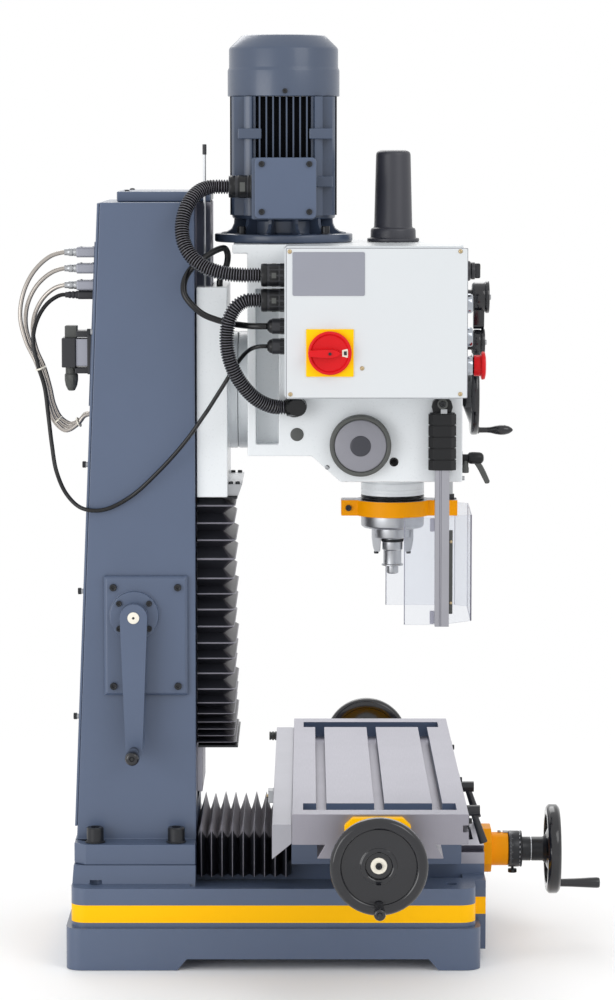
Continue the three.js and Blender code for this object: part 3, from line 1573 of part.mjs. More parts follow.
function connectorPanel() {
  const bottom = heavyConnectorZ - heavyConnectorHeight;
  const top = plugZs[0] + plugHeight;
  const half = plugWidth / 2 + connectorPlateThickness;
  const ring = (z) => [
    [connectorX - half, columnRearY(z) + seat, z], [connectorX + half, columnRearY(z) + seat, z],
    [connectorX + half, columnRearY(z) + seat + connectorPlateThickness, z],
    [connectorX - half, columnRearY(z) + seat + connectorPlateThickness, z],
  ];
  const plate = loft([ring(bottom), ring(top)], ([x, y]) => [x, y]);
  const plugs = [...plugZs, powerPlugZ].map((z) => block(connectorX - plugWidth / 2,
    connectorX + plugWidth / 2,
    columnRearY(z) + connectorPlateThickness / 2, plugReach, z - plugHeight / 2, z + plugHeight / 2));
  const heavy = block(connectorX - heavyConnectorWidth / 2, connectorX + heavyConnectorWidth / 2,
    columnRearY(heavyConnectorZ) + connectorPlateThickness / 2, heavyConnectorReach,
    heavyConnectorZ - heavyConnectorHeight / 2, heavyConnectorZ + heavyConnectorHeight / 2);
  const gland = rod('z', heavyGlandRadius, heavyConnectorZ - heavyConnectorHeight / 2 - heavyGlandLength,
    heavyConnectorZ, connectorX, heavyConnectorReach - heavyGlandRadius * 2, smallSides);
  return join(plate, ...plugs, heavy, gland);
}

add('rear_connector_panel', 'blackMatt', connectorPanel());

// Cords. Each route is a list of points chosen by hand, from the exit that the cord leaves
// to where it goes in.

const routes = {
  conduit_motor: [
    [-118, 148.8, 1106], [-118, 159, 1106], [-118, 169.5, 1106], [-122, 181, 1104],
    [-130, 191.5, 1098.5], [-140, 201, 1088], [-150, 209, 1072], [-158.5, 213, 1051],
    [-167, 210, 1028], [-175, 198, 1008], [-182, 178, 994], [-187, 153, 986.5], [-190, 126, 984],
    [-190, 114, 984], [-190, 102.3, 984],
  ],
  conduit_head: [
    [-190, 102.3, 949], [-190, 112.5, 949], [-190, 123, 948], [-190, 136, 940], [-189, 146, 923],
    [-187, 150, 899], [-184, 148, 873], [-179, 140, 849], [-171, 126, 826], [-162, 109, 808.5],
    [-153, 90, 798.5], [-146, 77, 796], [-146, 67.3, 796],
  ],
  limit_cable: [
    [-190, 93.3, 912.7], [-190, 104, 912.7], [-185, 116, 912.7], [-175, 130, 913.5], [-169, 148, 916],
    [-167, 166, 921], [-167, 183, 929], [-166, 198, 941], [-162, 208, 957], [-156, 212, 974],
    [-149, 206, 990], [-140, 193, 1002], [-128, 177, 1009], [-113, 166, 1008], [-99, 162.5, 999],
    [-90, 162, 984], [-88, 162, 973], [-88, 162, 964.3],
  ],
  head_cable: [
    [-190, 93.3, 884.6], [-190, 104, 884.4], [-184, 114, 881.5], [-172, 125, 873], [-164, 138, 856],
    [-161, 154, 830], [-158, 178, 792], [-150, 210, 747], [-138, 250, 702], [-130, 290, 666],
    [-128, 328, 648], [-124, 358, 650], [-112, 380, 668], [-96, 396, 700], [-87, 403, 738],
    [-84, 408, 780], [-84, 413, 820], [-84, 423, 855], [-82, 429, 888], [-76, 423, 917],
    [-68, 409, 939], [-61, 391, 950.5], [-60, 380, 951], [-60, 372.3, 951],
  ],
  scale_cable_1: [
    [-60, 372.3, 1012], [-60, 384, 1012], [-62, 405, 1006], [-66, 428, 985], [-70, 443, 955],
    [-72, 448, 920], [-72, 440, 885], [-72, 426, 855], [-72, 415, 825], [-72, 409, 795],
    [-72, 400, 770], [-72, 384, 757], [-72, 368, 765], [-72, 358, 777], [-72, 351.5, 780],
    [-72, 344.2, 780],
  ],
  scale_cable_2: [
    [-60, 372.3, 989], [-60, 384, 989], [-60, 403, 983], [-60, 424, 965], [-60, 438, 938],
    [-60, 441, 908], [-60, 433, 876], [-60, 421, 848], [-60, 412, 820], [-60, 406, 793],
    [-60, 396, 771], [-60, 381, 761], [-60, 366, 767], [-60, 357, 778], [-60, 351.5, 780],
    [-60, 344.2, 780],
  ],
  scale_cable_3: [
    [-60, 372.3, 965], [-59, 384, 965], [-56, 400, 960], [-51, 417, 945], [-48, 429, 922],
    [-48, 432, 898], [-48, 427, 872], [-48, 416, 846], [-48, 408, 818], [-48, 402, 792],
    [-48, 392, 773], [-48, 378, 765], [-48, 365, 770], [-48, 357, 778.5], [-48, 351.5, 780],
    [-48, 344.2, 780],
  ],
};

// A ribbed hose: crest and trough rings outside, a plain bore inside, and flat ends between them.
function ribbedHose(points, ribs) {
  const path = curveThrough(points);
  const outerRings = 2 * ribs + 1;
  const frames = path.computeFrenetFrames(2 * ribs, false);
  const ringAt = (step, radius) => {
    const centre = path.getPointAt(step / (2 * ribs));
    const ring = [];
    for (let point = 0; point < ribPoints; point += 1) {
      const angle = 2 * Math.PI * point / ribPoints;
      const corner = centre.clone();
      corner.addScaledVector(frames.normals[step], radius * Math.cos(angle));
      corner.addScaledVector(frames.binormals[step], radius * Math.sin(angle));
      ring.push(corner.toArray());
    }
    return ring;
  };
  const rings = [];
  for (let step = 0; step < outerRings; step += 1) {
    rings.push(ringAt(step, step % 2 === 0 ? conduitRadius - conduitRibDepth : conduitRadius));
  }
  for (let step = 2 * ribs; step >= 0; step -= 2 * ribsPerBoreRing) {
    rings.push(ringAt(step, conduitBoreRadius));
  }
  if ((2 * ribs) % (2 * ribsPerBoreRing) !== 0) rings.push(ringAt(0, conduitBoreRadius));
  const index = [];
  for (let ring = 0; ring < rings.length; ring += 1) {
    const next = (ring + 1) % rings.length;
    for (let point = 0; point < ribPoints; point += 1) {
      const a = ring * ribPoints + point;
      const b = ring * ribPoints + (point + 1) % ribPoints;
      const c = next * ribPoints + (point + 1) % ribPoints;
      const d = next * ribPoints + point;
      index.push(a, b, c, a, c, d);
    }
  }
  const geometry = new THREE.BufferGeometry();
  geometry.setAttribute('position', new THREE.Float32BufferAttribute(rings.flat(2), 3));
  geometry.setIndex(index);
  geometry.computeVertexNormals();
  return geometry;
}

const conduits = ['conduit_motor', 'conduit_head'];
const cables = {
  limit_cable: [limitCableRadius, 'blackMatt'], head_cable: [headCableRadius, 'blackMatt'],
  scale_cable_1: [scaleCableRadius, 'aluminium'], scale_cable_2: [scaleCableRadius, 'aluminium'],
  scale_cable_3: [scaleCableRadius, 'aluminium'],
};

// The least gap between a hose and itself, measured between points more than a few
// diameters apart along it.
function leastGap(points) {
  const samples = curveThrough(points).getSpacedPoints(hoseSamples);
  let least = Infinity;
  for (let first = 0; first < samples.length; first += 1) {
    for (let second = first + hoseSamples / 4; second < samples.length; second += 1) {
      least = Math.min(least, samples[first].distanceTo(samples[second]) - 2 * conduitRadius);
    }
  }
  return least;
}

for (const name of conduits) {
  add(name, 'blackMatt', ribbedHose(routes[name], conduitRibs));
  console.log(`${name}: ${conduitRibs} ribs, least gap to itself ${leastGap(routes[name]).toFixed(1)} mm`);
}
for (const [name, [radius, finish]] of Object.entries(cables)) {
  add(name, finish, cord(routes[name], radius, cableSides));
  console.log(`${name}: ${curveThrough(routes[name]).getLength().toFixed(0)} mm long`);
}

// The footprint's middle goes over the origin, measured without the cords.

const body = new THREE.Box3();
machine.updateMatrixWorld(true);
machine.traverse((piece) => {
  if (piece.isMesh && !(piece.name in routes)) body.expandByObject(piece, true);
});
const middle = body.getCenter(new THREE.Vector3());
machine.position.set(-middle.x, -middle.y, -body.min.z);

export default machine;
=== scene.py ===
# %% [markdown]
# A bench mill drill: a heavy casting with a dovetail column, a geared head that a crank lifts, and a table
# on two screws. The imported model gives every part's place and its motion. This notebook dresses those
# parts: it gives them cast, painted, ground and moulded surfaces, and adds the screws, plates, folds and
# cords that a close look shows.

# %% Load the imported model
import json
import math
import bmesh
import bpy
from mathutils import Matrix, Vector

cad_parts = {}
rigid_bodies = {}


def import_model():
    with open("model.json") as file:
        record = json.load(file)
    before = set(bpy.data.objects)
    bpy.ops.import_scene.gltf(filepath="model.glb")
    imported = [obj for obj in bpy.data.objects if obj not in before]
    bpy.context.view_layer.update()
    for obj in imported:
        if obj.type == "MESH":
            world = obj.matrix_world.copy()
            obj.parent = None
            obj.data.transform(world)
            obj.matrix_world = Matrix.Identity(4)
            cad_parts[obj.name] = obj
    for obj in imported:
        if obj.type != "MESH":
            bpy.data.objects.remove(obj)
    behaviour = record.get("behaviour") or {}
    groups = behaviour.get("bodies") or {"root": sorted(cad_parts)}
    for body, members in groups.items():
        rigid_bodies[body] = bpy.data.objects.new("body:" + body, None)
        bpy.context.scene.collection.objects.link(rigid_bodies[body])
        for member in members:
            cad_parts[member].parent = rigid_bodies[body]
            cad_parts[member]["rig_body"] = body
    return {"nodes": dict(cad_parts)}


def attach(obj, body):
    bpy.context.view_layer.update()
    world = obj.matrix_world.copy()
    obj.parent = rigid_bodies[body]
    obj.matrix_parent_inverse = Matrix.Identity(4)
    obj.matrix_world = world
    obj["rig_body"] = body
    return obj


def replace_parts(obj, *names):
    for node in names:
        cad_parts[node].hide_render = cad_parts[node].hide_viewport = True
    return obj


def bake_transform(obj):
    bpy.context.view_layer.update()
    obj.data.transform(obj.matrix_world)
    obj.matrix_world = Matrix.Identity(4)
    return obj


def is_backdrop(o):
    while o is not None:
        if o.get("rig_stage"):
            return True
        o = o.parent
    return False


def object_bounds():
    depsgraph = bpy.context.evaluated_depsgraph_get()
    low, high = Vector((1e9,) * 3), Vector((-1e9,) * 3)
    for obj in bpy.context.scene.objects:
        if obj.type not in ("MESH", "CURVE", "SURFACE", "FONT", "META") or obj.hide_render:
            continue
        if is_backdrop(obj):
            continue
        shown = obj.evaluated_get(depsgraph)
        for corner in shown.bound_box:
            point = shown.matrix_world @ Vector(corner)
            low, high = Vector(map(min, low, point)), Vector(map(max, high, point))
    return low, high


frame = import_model()
cad_box = [[float(value) for value in corner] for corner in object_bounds()]
print("the packed model spans", cad_box)

# %% [markdown]
# The camera stands where the photographer stood: five metres from the left end of the table, a little above
# the head's middle, looking slightly down. The focal length comes from the size of the table in the
# picture, and there is no shift, so any other view can use the same lens.

# %% The camera
MM = 0.001
LENS, SENSOR = 127.6, 36  # millimetres
STANDPOINT, LOOK_DOWN = (-5.143, 0.037, 1.174), 0.1017  # metres, radians
camera_data = bpy.data.cameras.new("studio camera")
camera_data.sensor_width, camera_data.lens = SENSOR, LENS
camera_data.clip_end = 100
camera = bpy.data.objects.new("studio camera", camera_data)
camera.location = STANDPOINT
camera.rotation_euler = (math.pi / 2 - LOOK_DOWN, 0, -math.pi / 2)
bpy.context.scene.collection.objects.link(camera)
bpy.context.scene.camera = camera
print("lens", camera_data.lens, "mm at", tuple(camera.location))

# %% [markdown]
# Cords come next. Each one is a fixed length of something flexible, drawn along a smooth curve through a
# few points. The curve is the centripetal kind, which keeps to its points without loops, and it is cut into
# even steps.

# %% A smooth route through points
def route_curve(points, step, fine=24):
    """Even points along a centripetal Catmull-Rom curve, in metres."""
    points = [Vector(point) * MM for point in points]
    padded = [2 * points[0] - points[1], *points, 2 * points[-1] - points[-2]]
    dense = []
    for before, start, end, after in zip(padded, padded[1:], padded[2:], padded[3:]):
        t0 = 0
        t1 = t0 + (start - before).length ** 0.5
        t2 = t1 + (end - start).length ** 0.5
        t3 = t2 + (after - end).length ** 0.5
        for part in range(fine):
            t = t1 + (t2 - t1) * part / fine
            a = before * ((t1 - t) / (t1 - t0)) + start * ((t - t0) / (t1 - t0))
            b = start * ((t2 - t) / (t2 - t1)) + end * ((t - t1) / (t2 - t1))
            c = end * ((t3 - t) / (t3 - t2)) + after * ((t - t2) / (t3 - t2))
            d = a * ((t2 - t) / (t2 - t0)) + b * ((t - t0) / (t2 - t0))
            e = b * ((t3 - t) / (t3 - t1)) + c * ((t - t1) / (t3 - t1))
            dense.append(d * ((t2 - t) / (t2 - t1)) + e * ((t - t1) / (t2 - t1)))
    dense.append(points[-1])
    lengths = [0]
    for first, second in zip(dense, dense[1:]):
        lengths.append(lengths[-1] + (second - first).length)
    count = max(2, round(lengths[-1] / (step * MM)))
    even, at = [], 0
    for place in range(count + 1):
        wanted = lengths[-1] * place / count
        while at < len(dense) - 2 and lengths[at + 1] < wanted:
            at += 1
        share = (wanted - lengths[at]) / max(1e-9, lengths[at + 1] - lengths[at])
        even.append(dense[at].lerp(dense[at + 1], min(1, share)))
    return even

# %% [markdown]
# A cord's skin is a row of rings along its route. Each ring is turned as little as possible from the one
# before, so the skin never twists. The radius may change from ring to ring, which is how ribs and armour
# are made.

# %% A tube along a route
def link(name, mesh, body=None):
    """Puts a mesh into the scene as an object, which rides on a body if one is named."""
    made = bpy.data.objects.new(name, mesh)
    bpy.context.scene.collection.objects.link(made)
    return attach(made, body) if body else made


def rings_joined(rings, sides):
    """The faces of a skin whose points come ring by ring, then one face for each of its two ends."""
    faces = []
    for ring in range(rings - 1):
        for turn in range(sides):
            a, b = ring * sides + turn, ring * sides + (turn + 1) % sides
            faces.append((a, b, b + sides, a + sides))
    return faces + [tuple(reversed(range(sides))), tuple(range((rings - 1) * sides, rings * sides))]


def ring_points(centre, side, other, radius, sides):
    """Even points round a circle that lies along two directions."""
    turns = [2 * math.pi * turn / sides for turn in range(sides)]
    return [centre + (side * math.cos(turn) + other * math.sin(turn)) * radius for turn in turns]


def tube(name, path, radii, sides, body):
    """A closed tube along path, with the radii repeated from ring to ring."""
    made = bpy.data.meshes.new(name)
    side = (path[1] - path[0]).orthogonal().normalized()
    points = []
    for place, centre in enumerate(path):
        along = (path[min(place + 1, len(path) - 1)] - path[max(place - 1, 0)]).normalized()
        side = (side - along * side.dot(along)).normalized()
        points += ring_points(centre, side, along.cross(side), radii[place % len(radii)] * MM, sides)
    made.from_pydata(points, [], rings_joined(len(path), sides))
    made.shade_smooth()
    return link(name, made, body)

# %% [markdown]
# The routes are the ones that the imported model's cords follow, in millimetres. Two ribbed conduits leave
# the electrical box: one climbs to the motor and one drops into the head. A limit switch cable goes to the
# carriage, a thin cable goes round to the back of the column, and three armoured scale cables hang behind
# it.

# %% The routes
routes = {
    "conduit_motor": [(-118, 148.8, 1106), (-118, 159, 1106), (-118, 169.5, 1106), (-122, 181, 1104),
        (-130, 191.5, 1098.5), (-140, 201, 1088), (-150, 209, 1072), (-158.5, 213, 1051), (-167, 210, 1028),
        (-175, 198, 1008), (-182, 178, 994), (-187, 153, 986.5), (-190, 126, 984), (-190, 114, 984),
        (-190, 102.3, 984)],
    "conduit_head": [(-190, 102.3, 949), (-190, 112.5, 949), (-190, 123, 948), (-190, 136, 940),
        (-189, 146, 923), (-187, 150, 899), (-184, 148, 873), (-179, 140, 849), (-171, 126, 826),
        (-162, 109, 808.5), (-153, 90, 798.5), (-146, 77, 796), (-146, 67.3, 796)],
    "limit_cable": [(-190, 93.3, 912.7), (-190, 104, 912.7), (-185, 116, 912.7), (-175, 130, 913.5),
        (-169, 148, 916), (-167, 166, 921), (-167, 183, 928), (-166, 199, 941), (-162, 210, 957),
        (-156, 210, 974), (-147, 201, 991), (-132, 183, 1006), (-118, 167, 1016), (-108, 155, 1019),
        (-100, 150.5, 1011), (-94, 152, 995), (-89.5, 158.5, 981), (-88, 162, 971), (-88, 162, 964.3)],
    "head_cable_front": [(-190, 93.3, 884.6), (-190, 104, 884.4), (-184, 114, 881.5), (-172, 125, 873),
        (-164, 138, 856), (-161, 154, 830), (-158, 178, 792)],
    "head_cable_rear": [(-158, 178, 792), (-150, 210, 747), (-138, 250, 702), (-130, 290, 666),
        (-128, 328, 648), (-124, 358, 650), (-112, 380, 668), (-96, 396, 700), (-87, 403, 738),
        (-84, 408, 780), (-84, 413, 820), (-84, 423, 855), (-82, 429, 888), (-76, 423, 917),
        (-68, 409, 939), (-61, 391, 950.5), (-60, 380, 951), (-60, 372.3, 951)],
    "scale_cable_1": [(-60, 372.3, 1012), (-60, 384, 1012), (-62, 405, 1006), (-66, 428, 985),
        (-70, 443, 955), (-72, 448, 920), (-72, 440, 885), (-72, 426, 855), (-72, 415, 825),
        (-72, 409, 795), (-72, 400, 770), (-72, 384, 757), (-72, 368, 765), (-72, 358, 777),
        (-72, 351.5, 780), (-72, 344.2, 780)],
    "scale_cable_2": [(-60, 372.3, 989), (-60, 384, 989), (-60, 403, 983), (-60, 424, 965), (-60, 438, 938),
        (-60, 441, 908), (-60, 433, 876), (-60, 421, 848), (-60, 412, 820), (-60, 406, 793),
        (-60, 396, 771), (-60, 381, 761), (-60, 366, 767), (-60, 357, 778), (-60, 351.5, 780),
        (-60, 344.2, 780)],
    "scale_cable_3": [(-60, 372.3, 965), (-59, 384, 965), (-56, 400, 960), (-51, 417, 945), (-48, 429, 922),
        (-48, 432, 898), (-48, 427, 872), (-48, 416, 846), (-48, 408, 818), (-48, 402, 792),
        (-48, 392, 773), (-48, 378, 765), (-48, 365, 770), (-48, 357, 778.5), (-48, 351.5, 780),
        (-48, 344.2, 780)],
}
print(len(routes), "routes")

# %% [markdown]
# Each kind of cord has its own skin. The conduits are moulded in rings, 3.7 mm apart, with a rounded crest
# and a deep groove. The scale cables are a steel strip wound round a wire, so their skin steps in and out
# every 1.6 mm. The others are plain. A curve object with a round bevel could make the plain ones, but not
# the ribs.

# %% The cords
skins = {
    "conduit": (0.62, [7.6, 8.6, 10.2, 10.6, 10.2, 8.6], 20),
    "armour": (0.8, [3.4, 3.0], 12),
    "limit": (3.0, [4.5], 14),
    "thin": (3.0, [3.0], 12),
}
kinds = {
    "conduit_motor": ("conduit", "head"), "conduit_head": ("conduit", "head"),
    "limit_cable": ("limit", None), "head_cable_front": ("thin", None),
    "head_cable_rear": ("thin", None), "scale_cable_1": ("armour", "stand"),
    "scale_cable_2": ("armour", "stand"), "scale_cable_3": ("armour", "stand"),
}
cords = {}
for name, (kind, body) in kinds.items():
    step, radii, sides = skins[kind]
    path = route_curve(routes[name], step)
    cords[name] = tube(name + "_skin", path, radii, sides, body)
    if name != "head_cable_front":
        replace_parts(cords[name], name.replace("_rear", ""))
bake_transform(cords["limit_cable"])
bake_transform(cords["head_cable_front"])
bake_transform(cords["head_cable_rear"])

# %% [markdown]
# Shader nodes come next, since every surface is made of them: one helper adds a node with its settings and
# its links, and one turns a colour as a painter would write it into what the sockets take. The stage is a
# pale floor that fades into a white sky round the machine. Camera, mirror and glass rays see plain white,
# and everything else gets slightly less light from it, so the shapes are drawn by three large lamps.

# %% Nodes, colours and materials
def node(tree, kind, settings=None, links=None):
    """Adds a shader node, with attributes or sockets set, and sockets joined to (node, output) pairs."""
    made = tree.nodes.new("ShaderNode" + kind)
    for name, value in (settings or {}).items():
        if hasattr(made, str(name)):
            setattr(made, name, value)
        else:
            made.inputs[name].default_value = value
    for name, (source, output) in (links or {}).items():
        tree.links.new(source.outputs[output], made.inputs[name])
    return made


def linear(colour):
    """An sRGB hex colour, such as '5f6b7d', as the linear values that Blender's sockets take."""
    values = [int(colour[place:place + 2], 16) / 255 for place in (0, 2, 4)]
    return (*[v / 12.92 if v <= 0.04045 else ((v + 0.055) / 1.055) ** 2.4 for v in values], 1.0)


def new_finish(name):
    """A material, with its node tree and its shader."""
    material = bpy.data.materials.new(name)
    material.use_nodes = True
    return material, material.node_tree, material.node_tree.nodes["Principled BSDF"]


def mixed(tree, share, first, second):
    """Gives the material's surface two shaders, with the share of the second from a node."""
    both = node(tree, "MixShader", {}, {"Fac": (share, 0), 1: (first, 0), 2: (second, 0)})
    tree.links.new(both.outputs[0], tree.nodes["Material Output"].inputs["Surface"])


print("white is", linear("ffffff"))

# %% The sky
SKY_ON_OBJECT = 0.92  # the camera sees 1, which is white
world = bpy.data.worlds.new("white sky")
bpy.context.scene.world = world
world.use_nodes = True
sky = world.node_tree
sky.nodes.clear()
rays = node(sky, "LightPath")
seen = node(sky, "Math", {"operation": "MAXIMUM"}, {0: (rays, "Is Camera Ray"), 1: (rays, "Is Glossy Ray")})
shown = node(sky, "Math", {"operation": "MAXIMUM"}, {0: (seen, 0), 1: (rays, "Is Transmission Ray")})
strength = node(sky, "MapRange", {"To Min": SKY_ON_OBJECT, "To Max": 1.0}, {"Value": (shown, 0)})
light = node(sky, "Background", {"Color": (1, 1, 1, 1)}, {"Strength": (strength, 0)})
node(sky, "OutputWorld", links={"Surface": (light, 0)})
print("sky with", len(sky.nodes), "nodes")

# %% The floor
FAR = 4  # metres
floor_mesh = bpy.data.meshes.new("studio floor")
floor_mesh.from_pydata([(-FAR, -FAR, 0), (FAR, -FAR, 0), (FAR, FAR, 0), (-FAR, FAR, 0)], [], [(0, 1, 2, 3)])
floor = bpy.data.objects.new("studio floor", floor_mesh)
floor.location.z = -0.0005
bpy.context.scene.collection.objects.link(floor)
floor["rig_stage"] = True
paper, tree, sheet = new_finish("seamless white paper that fades into the sky")
sheet.inputs["Base Color"].default_value = linear("fdfdfd")
sheet.inputs["Roughness"].default_value = 0.9
sheet.inputs["Specular IOR Level"].default_value = 0.1
place = node(tree, "TexCoord")
middle = node(tree, "VectorMath", {"operation": "LENGTH"}, {0: (place, "Object")})
fade = node(tree, "MapRange", {"interpolation_type": "SMOOTHSTEP", "From Min": 0.5, "From Max": 1.9},
    {"Value": (middle, "Value")})
clear = node(tree, "BsdfTransparent")
mixed(tree, fade, sheet, clear)
floor_mesh.materials.append(paper)
print("floor", 2 * FAR, "m across")

# %% The lamps
bpy.context.scene.view_settings.view_transform = "Standard"
for name, place, aim, size, power in (
        ("key lamp", (-3.2, -2.6, 3.4), (0, 0, 0.7), 2.4, 38),
        ("fill lamp", (-3.4, 3.0, 1.0), (0, 0, 0.4), 2.6, 58),
        ("back lamp", (3.0, 0.4, 3.2), (0, 0, 0.8), 2.4, 40)):
    data = bpy.data.lights.new(name, "AREA")
    data.size = size
    data.energy = power
    lamp = bpy.data.objects.new(name, data)
    lamp.location = place
    lamp.rotation_euler = (Vector(aim) - Vector(place)).to_track_quat("-Z", "Y").to_euler()
    bpy.context.scene.collection.objects.link(lamp)
print("lamps lit:", len(bpy.data.lights))

# %% [markdown]
# Every finish starts from what the real thing is made of. The pattern that each one needs, such as the
# orange peel of sprayed paint or the lines that a grinding wheel leaves, is drawn at its real size by a
# noise in object space, which here is metres. One helper makes the material and its bump, and each finish
# then adds its own colour.

# %% A finish
DRIFT_SCALE = 9.0  # one patch of the slow change in colour is about 11 cm wide
COAT_ROUGHNESS = 0.12


def finish(name, colour, metallic, roughness, grain_mm, bump_mm, stretch=(1, 1, 1), coat=0.0, shade=0.06,
        rough_change=0.08, gloss=0.5):
    """A surface whose colour and roughness drift a little, with a grain, in mm, that stands bump_mm high."""
    material, tree, shader = new_finish(name)
    for socket, value in (("Metallic", metallic), ("Specular IOR Level", gloss), ("Coat Weight", coat),
            ("Coat Roughness", COAT_ROUGHNESS)):
        shader.inputs[socket].default_value = value
    place = node(tree, "TexCoord")
    combed = node(tree, "Mapping", {"Scale": stretch}, {"Vector": (place, "Object")})
    grain = node(tree, "TexNoise", {"Scale": 1 / (grain_mm * MM), "Detail": 3.0, "Roughness": 0.55},
        {"Vector": (combed, 0)})
    drift = node(tree, "TexNoise", {"Scale": DRIFT_SCALE, "Detail": 4.0, "Roughness": 0.6},
        {"Vector": (place, "Object")})
    base = linear(colour)
    dark = tuple(value * (1 - shade) for value in base[:3]) + (1,)
    pale = tuple(min(1, value * (1 + shade)) for value in base[:3]) + (1,)
    paint = node(tree, "MixRGB", {"Color1": dark, "Color2": pale}, {"Fac": (drift, 0)})
    low, high = roughness - rough_change / 2, roughness + rough_change / 2
    rough = node(tree, "MapRange", {"From Min": 0.3, "From Max": 0.7, "To Min": low, "To Max": high},
        {"Value": (grain, 0)})
    bump = node(tree, "Bump", {"Strength": 0.5, "Distance": bump_mm * MM}, {"Height": (grain, 0)})
    for source, socket in ((paint, "Base Color"), (rough, "Roughness"), (bump, "Normal")):
        tree.links.new(source.outputs[0], shader.inputs[socket])
    return material

# %% [markdown]
# Paint on a machine casting is sprayed over filler and dries with a soft orange peel, about 3 mm from bump
# to bump. Under soft light that gives the eye a broad highlight that wavers slightly. Moulded plastic is
# smoother and its gloss is sharper. Ground steel is a metal with fine lines along the wheel's path, and
# turned steel has them round. A painted texture could give the same, but noise in object space needs no
# unwrapping and stays sharp up close.

# %% The finishes
# Enamels: a soft broad highlight. White ones hardly drift; the dark matt one is painted shade in the motor's
# fins.
slate = finish("slate enamel on cast iron", "4f5c74", 0.0, 0.36, 3.0, 0.06, coat=0.15, gloss=0.45)
white = finish("white enamel on steel", "e2e6e9", 0.0, 0.3, 3.0, 0.012, coat=0.15, shade=0.012)
# The box's copy of the white is darker, as painted shade.
box_white_painted_shade = finish("white enamel on sheet steel", "d1d5d8", 0.0, 0.32, 2.5, 0.01, coat=0.15, shade=0.012)
motor_paint = finish("slate enamel on aluminium", "434f64", 0.0, 0.34, 2.0, 0.03, coat=0.2, gloss=0.5)
fin_gap_painted_shade = finish("thin paint in a recess", "15171d", 0.0, 0.6, 2.0, 0.03, gloss=0.1)
yellow = finish("yellow enamel on cast iron", "ffbe00", 0.0, 0.42, 2.5, 0.04, shade=0.02, gloss=0.12)
orange = finish("orange enamel on steel", "ef9b00", 0.0, 0.42, 2.5, 0.03, shade=0.03, gloss=0.12)

# Bare metals: the highlight is drawn out across the tool's lines, and plating is plain and a little dull.
ground = finish("ground cast iron", "9d9ca5", 1.0, 0.4, 0.9, 0.03, stretch=(0.03, 1, 1), shade=0.08)
milled = finish("milled cast iron", "9a98a1", 1.0, 0.42, 1.2, 0.05, stretch=(1, 1, 0.06), shade=0.12)
steel = finish("turned steel", "b3b5b9", 1.0, 0.36, 0.8, 0.015, stretch=(1, 1, 6), shade=0.1)
bright = finish("chromed steel", "a7acb3", 1.0, 0.16, 1.5, 0.01, stretch=(1, 0.2, 1), shade=0.3)
zinc = finish("zinc plated steel", "a9abae", 1.0, 0.34, 1.0, 0.01, shade=0.12)
armour = finish("wound steel armour", "b0aaa4", 1.0, 0.34, 0.8, 0.01, shade=0.12)
blackened = finish("blackened steel", "202226", 0.3, 0.32, 0.8, 0.01, shade=0.1)

# Plastics and rubber: the polished grips mirror the lamps sharply, and moulded or sheathed ones only glow.
bakelite = finish("polished black phenolic", "101117", 0.0, 0.14, 2.0, 0.01, coat=0.3, shade=0.1,
    rough_change=0.04)
# Black ABS also paints the cowl's vent holes, as painted shade.
black_abs_and_vent_shade = finish("moulded black ABS", "232429", 0.0, 0.38, 0.7, 0.02, shade=0.1)
sheath = finish("black PVC sheath", "0b0c0f", 0.0, 0.24, 1.2, 0.01, shade=0.1, gloss=0.4)
# The conduit's rib crests are lighter, as a painted highlight.
crest = finish("polished crest of moulded conduit", "45444c", 0.0, 0.16, 1.2, 0.01, coat=0.4, shade=0.06)
nylon = finish("glass filled black nylon", "101114", 0.0, 0.34, 0.8, 0.01, shade=0.1, gloss=0.35)
satin = finish("satin black cover", "33343c", 0.0, 0.4, 0.8, 0.01, shade=0.06)

# Cloth: a weave too fine to see. Outer panels are lighter as painted light, and crests as a painted
# highlight.
bellows = finish("rubberised cloth", "1d1e24", 0.0, 0.4, 0.8, 0.05, shade=0.15, gloss=0.4)
cloth_painted_sheen = finish("rubberised cloth with dust", "3f3d42", 0.0, 0.45, 0.8, 0.05, shade=0.2, gloss=0.4)
cloth_painted_light = finish("rubberised cloth under swarf dust", "8c898f", 0.0, 0.5, 0.8, 0.05, shade=0.25, gloss=0.4)
crest_painted_highlight = finish("worn edging on cloth", "7c7b84", 0.0, 0.4, 0.8, 0.02, shade=0.12, gloss=0.4)

# What is left: the guard's drawn post, the bare plates, and small things in their own colours.
extrusion = finish("drawn aluminium", "a3a3aa", 1.0, 0.4, 0.6, 0.02, stretch=(1, 1, 0.03), shade=0.08)
stainless = finish("brushed stainless plate", "9a9ca6", 1.0, 0.4, 0.5, 0.005, stretch=(1, 0.03, 1),
    shade=0.04)
red = finish("red moulded plastic", "d2151c", 0.0, 0.3, 1.5, 0.01, shade=0.03, gloss=0.2)
amber = finish("yellow printed plate", "ffc800", 0.0, 0.45, 2.0, 0.005, shade=0.02, gloss=0.12)
disc = finish("grey satin disc", "84848c", 0.0, 0.42, 0.8, 0.01, shade=0.05)
dull = finish("grey moulded plastic", "4a4c4a", 0.0, 0.45, 0.8, 0.01, shade=0.06)
brass = finish("gilt screw", "b9a684", 1.0, 0.3, 0.8, 0.01, shade=0.1)
cream = finish("cream nylon", "e9e4d6", 0.0, 0.4, 1.5, 0.01, shade=0.03)
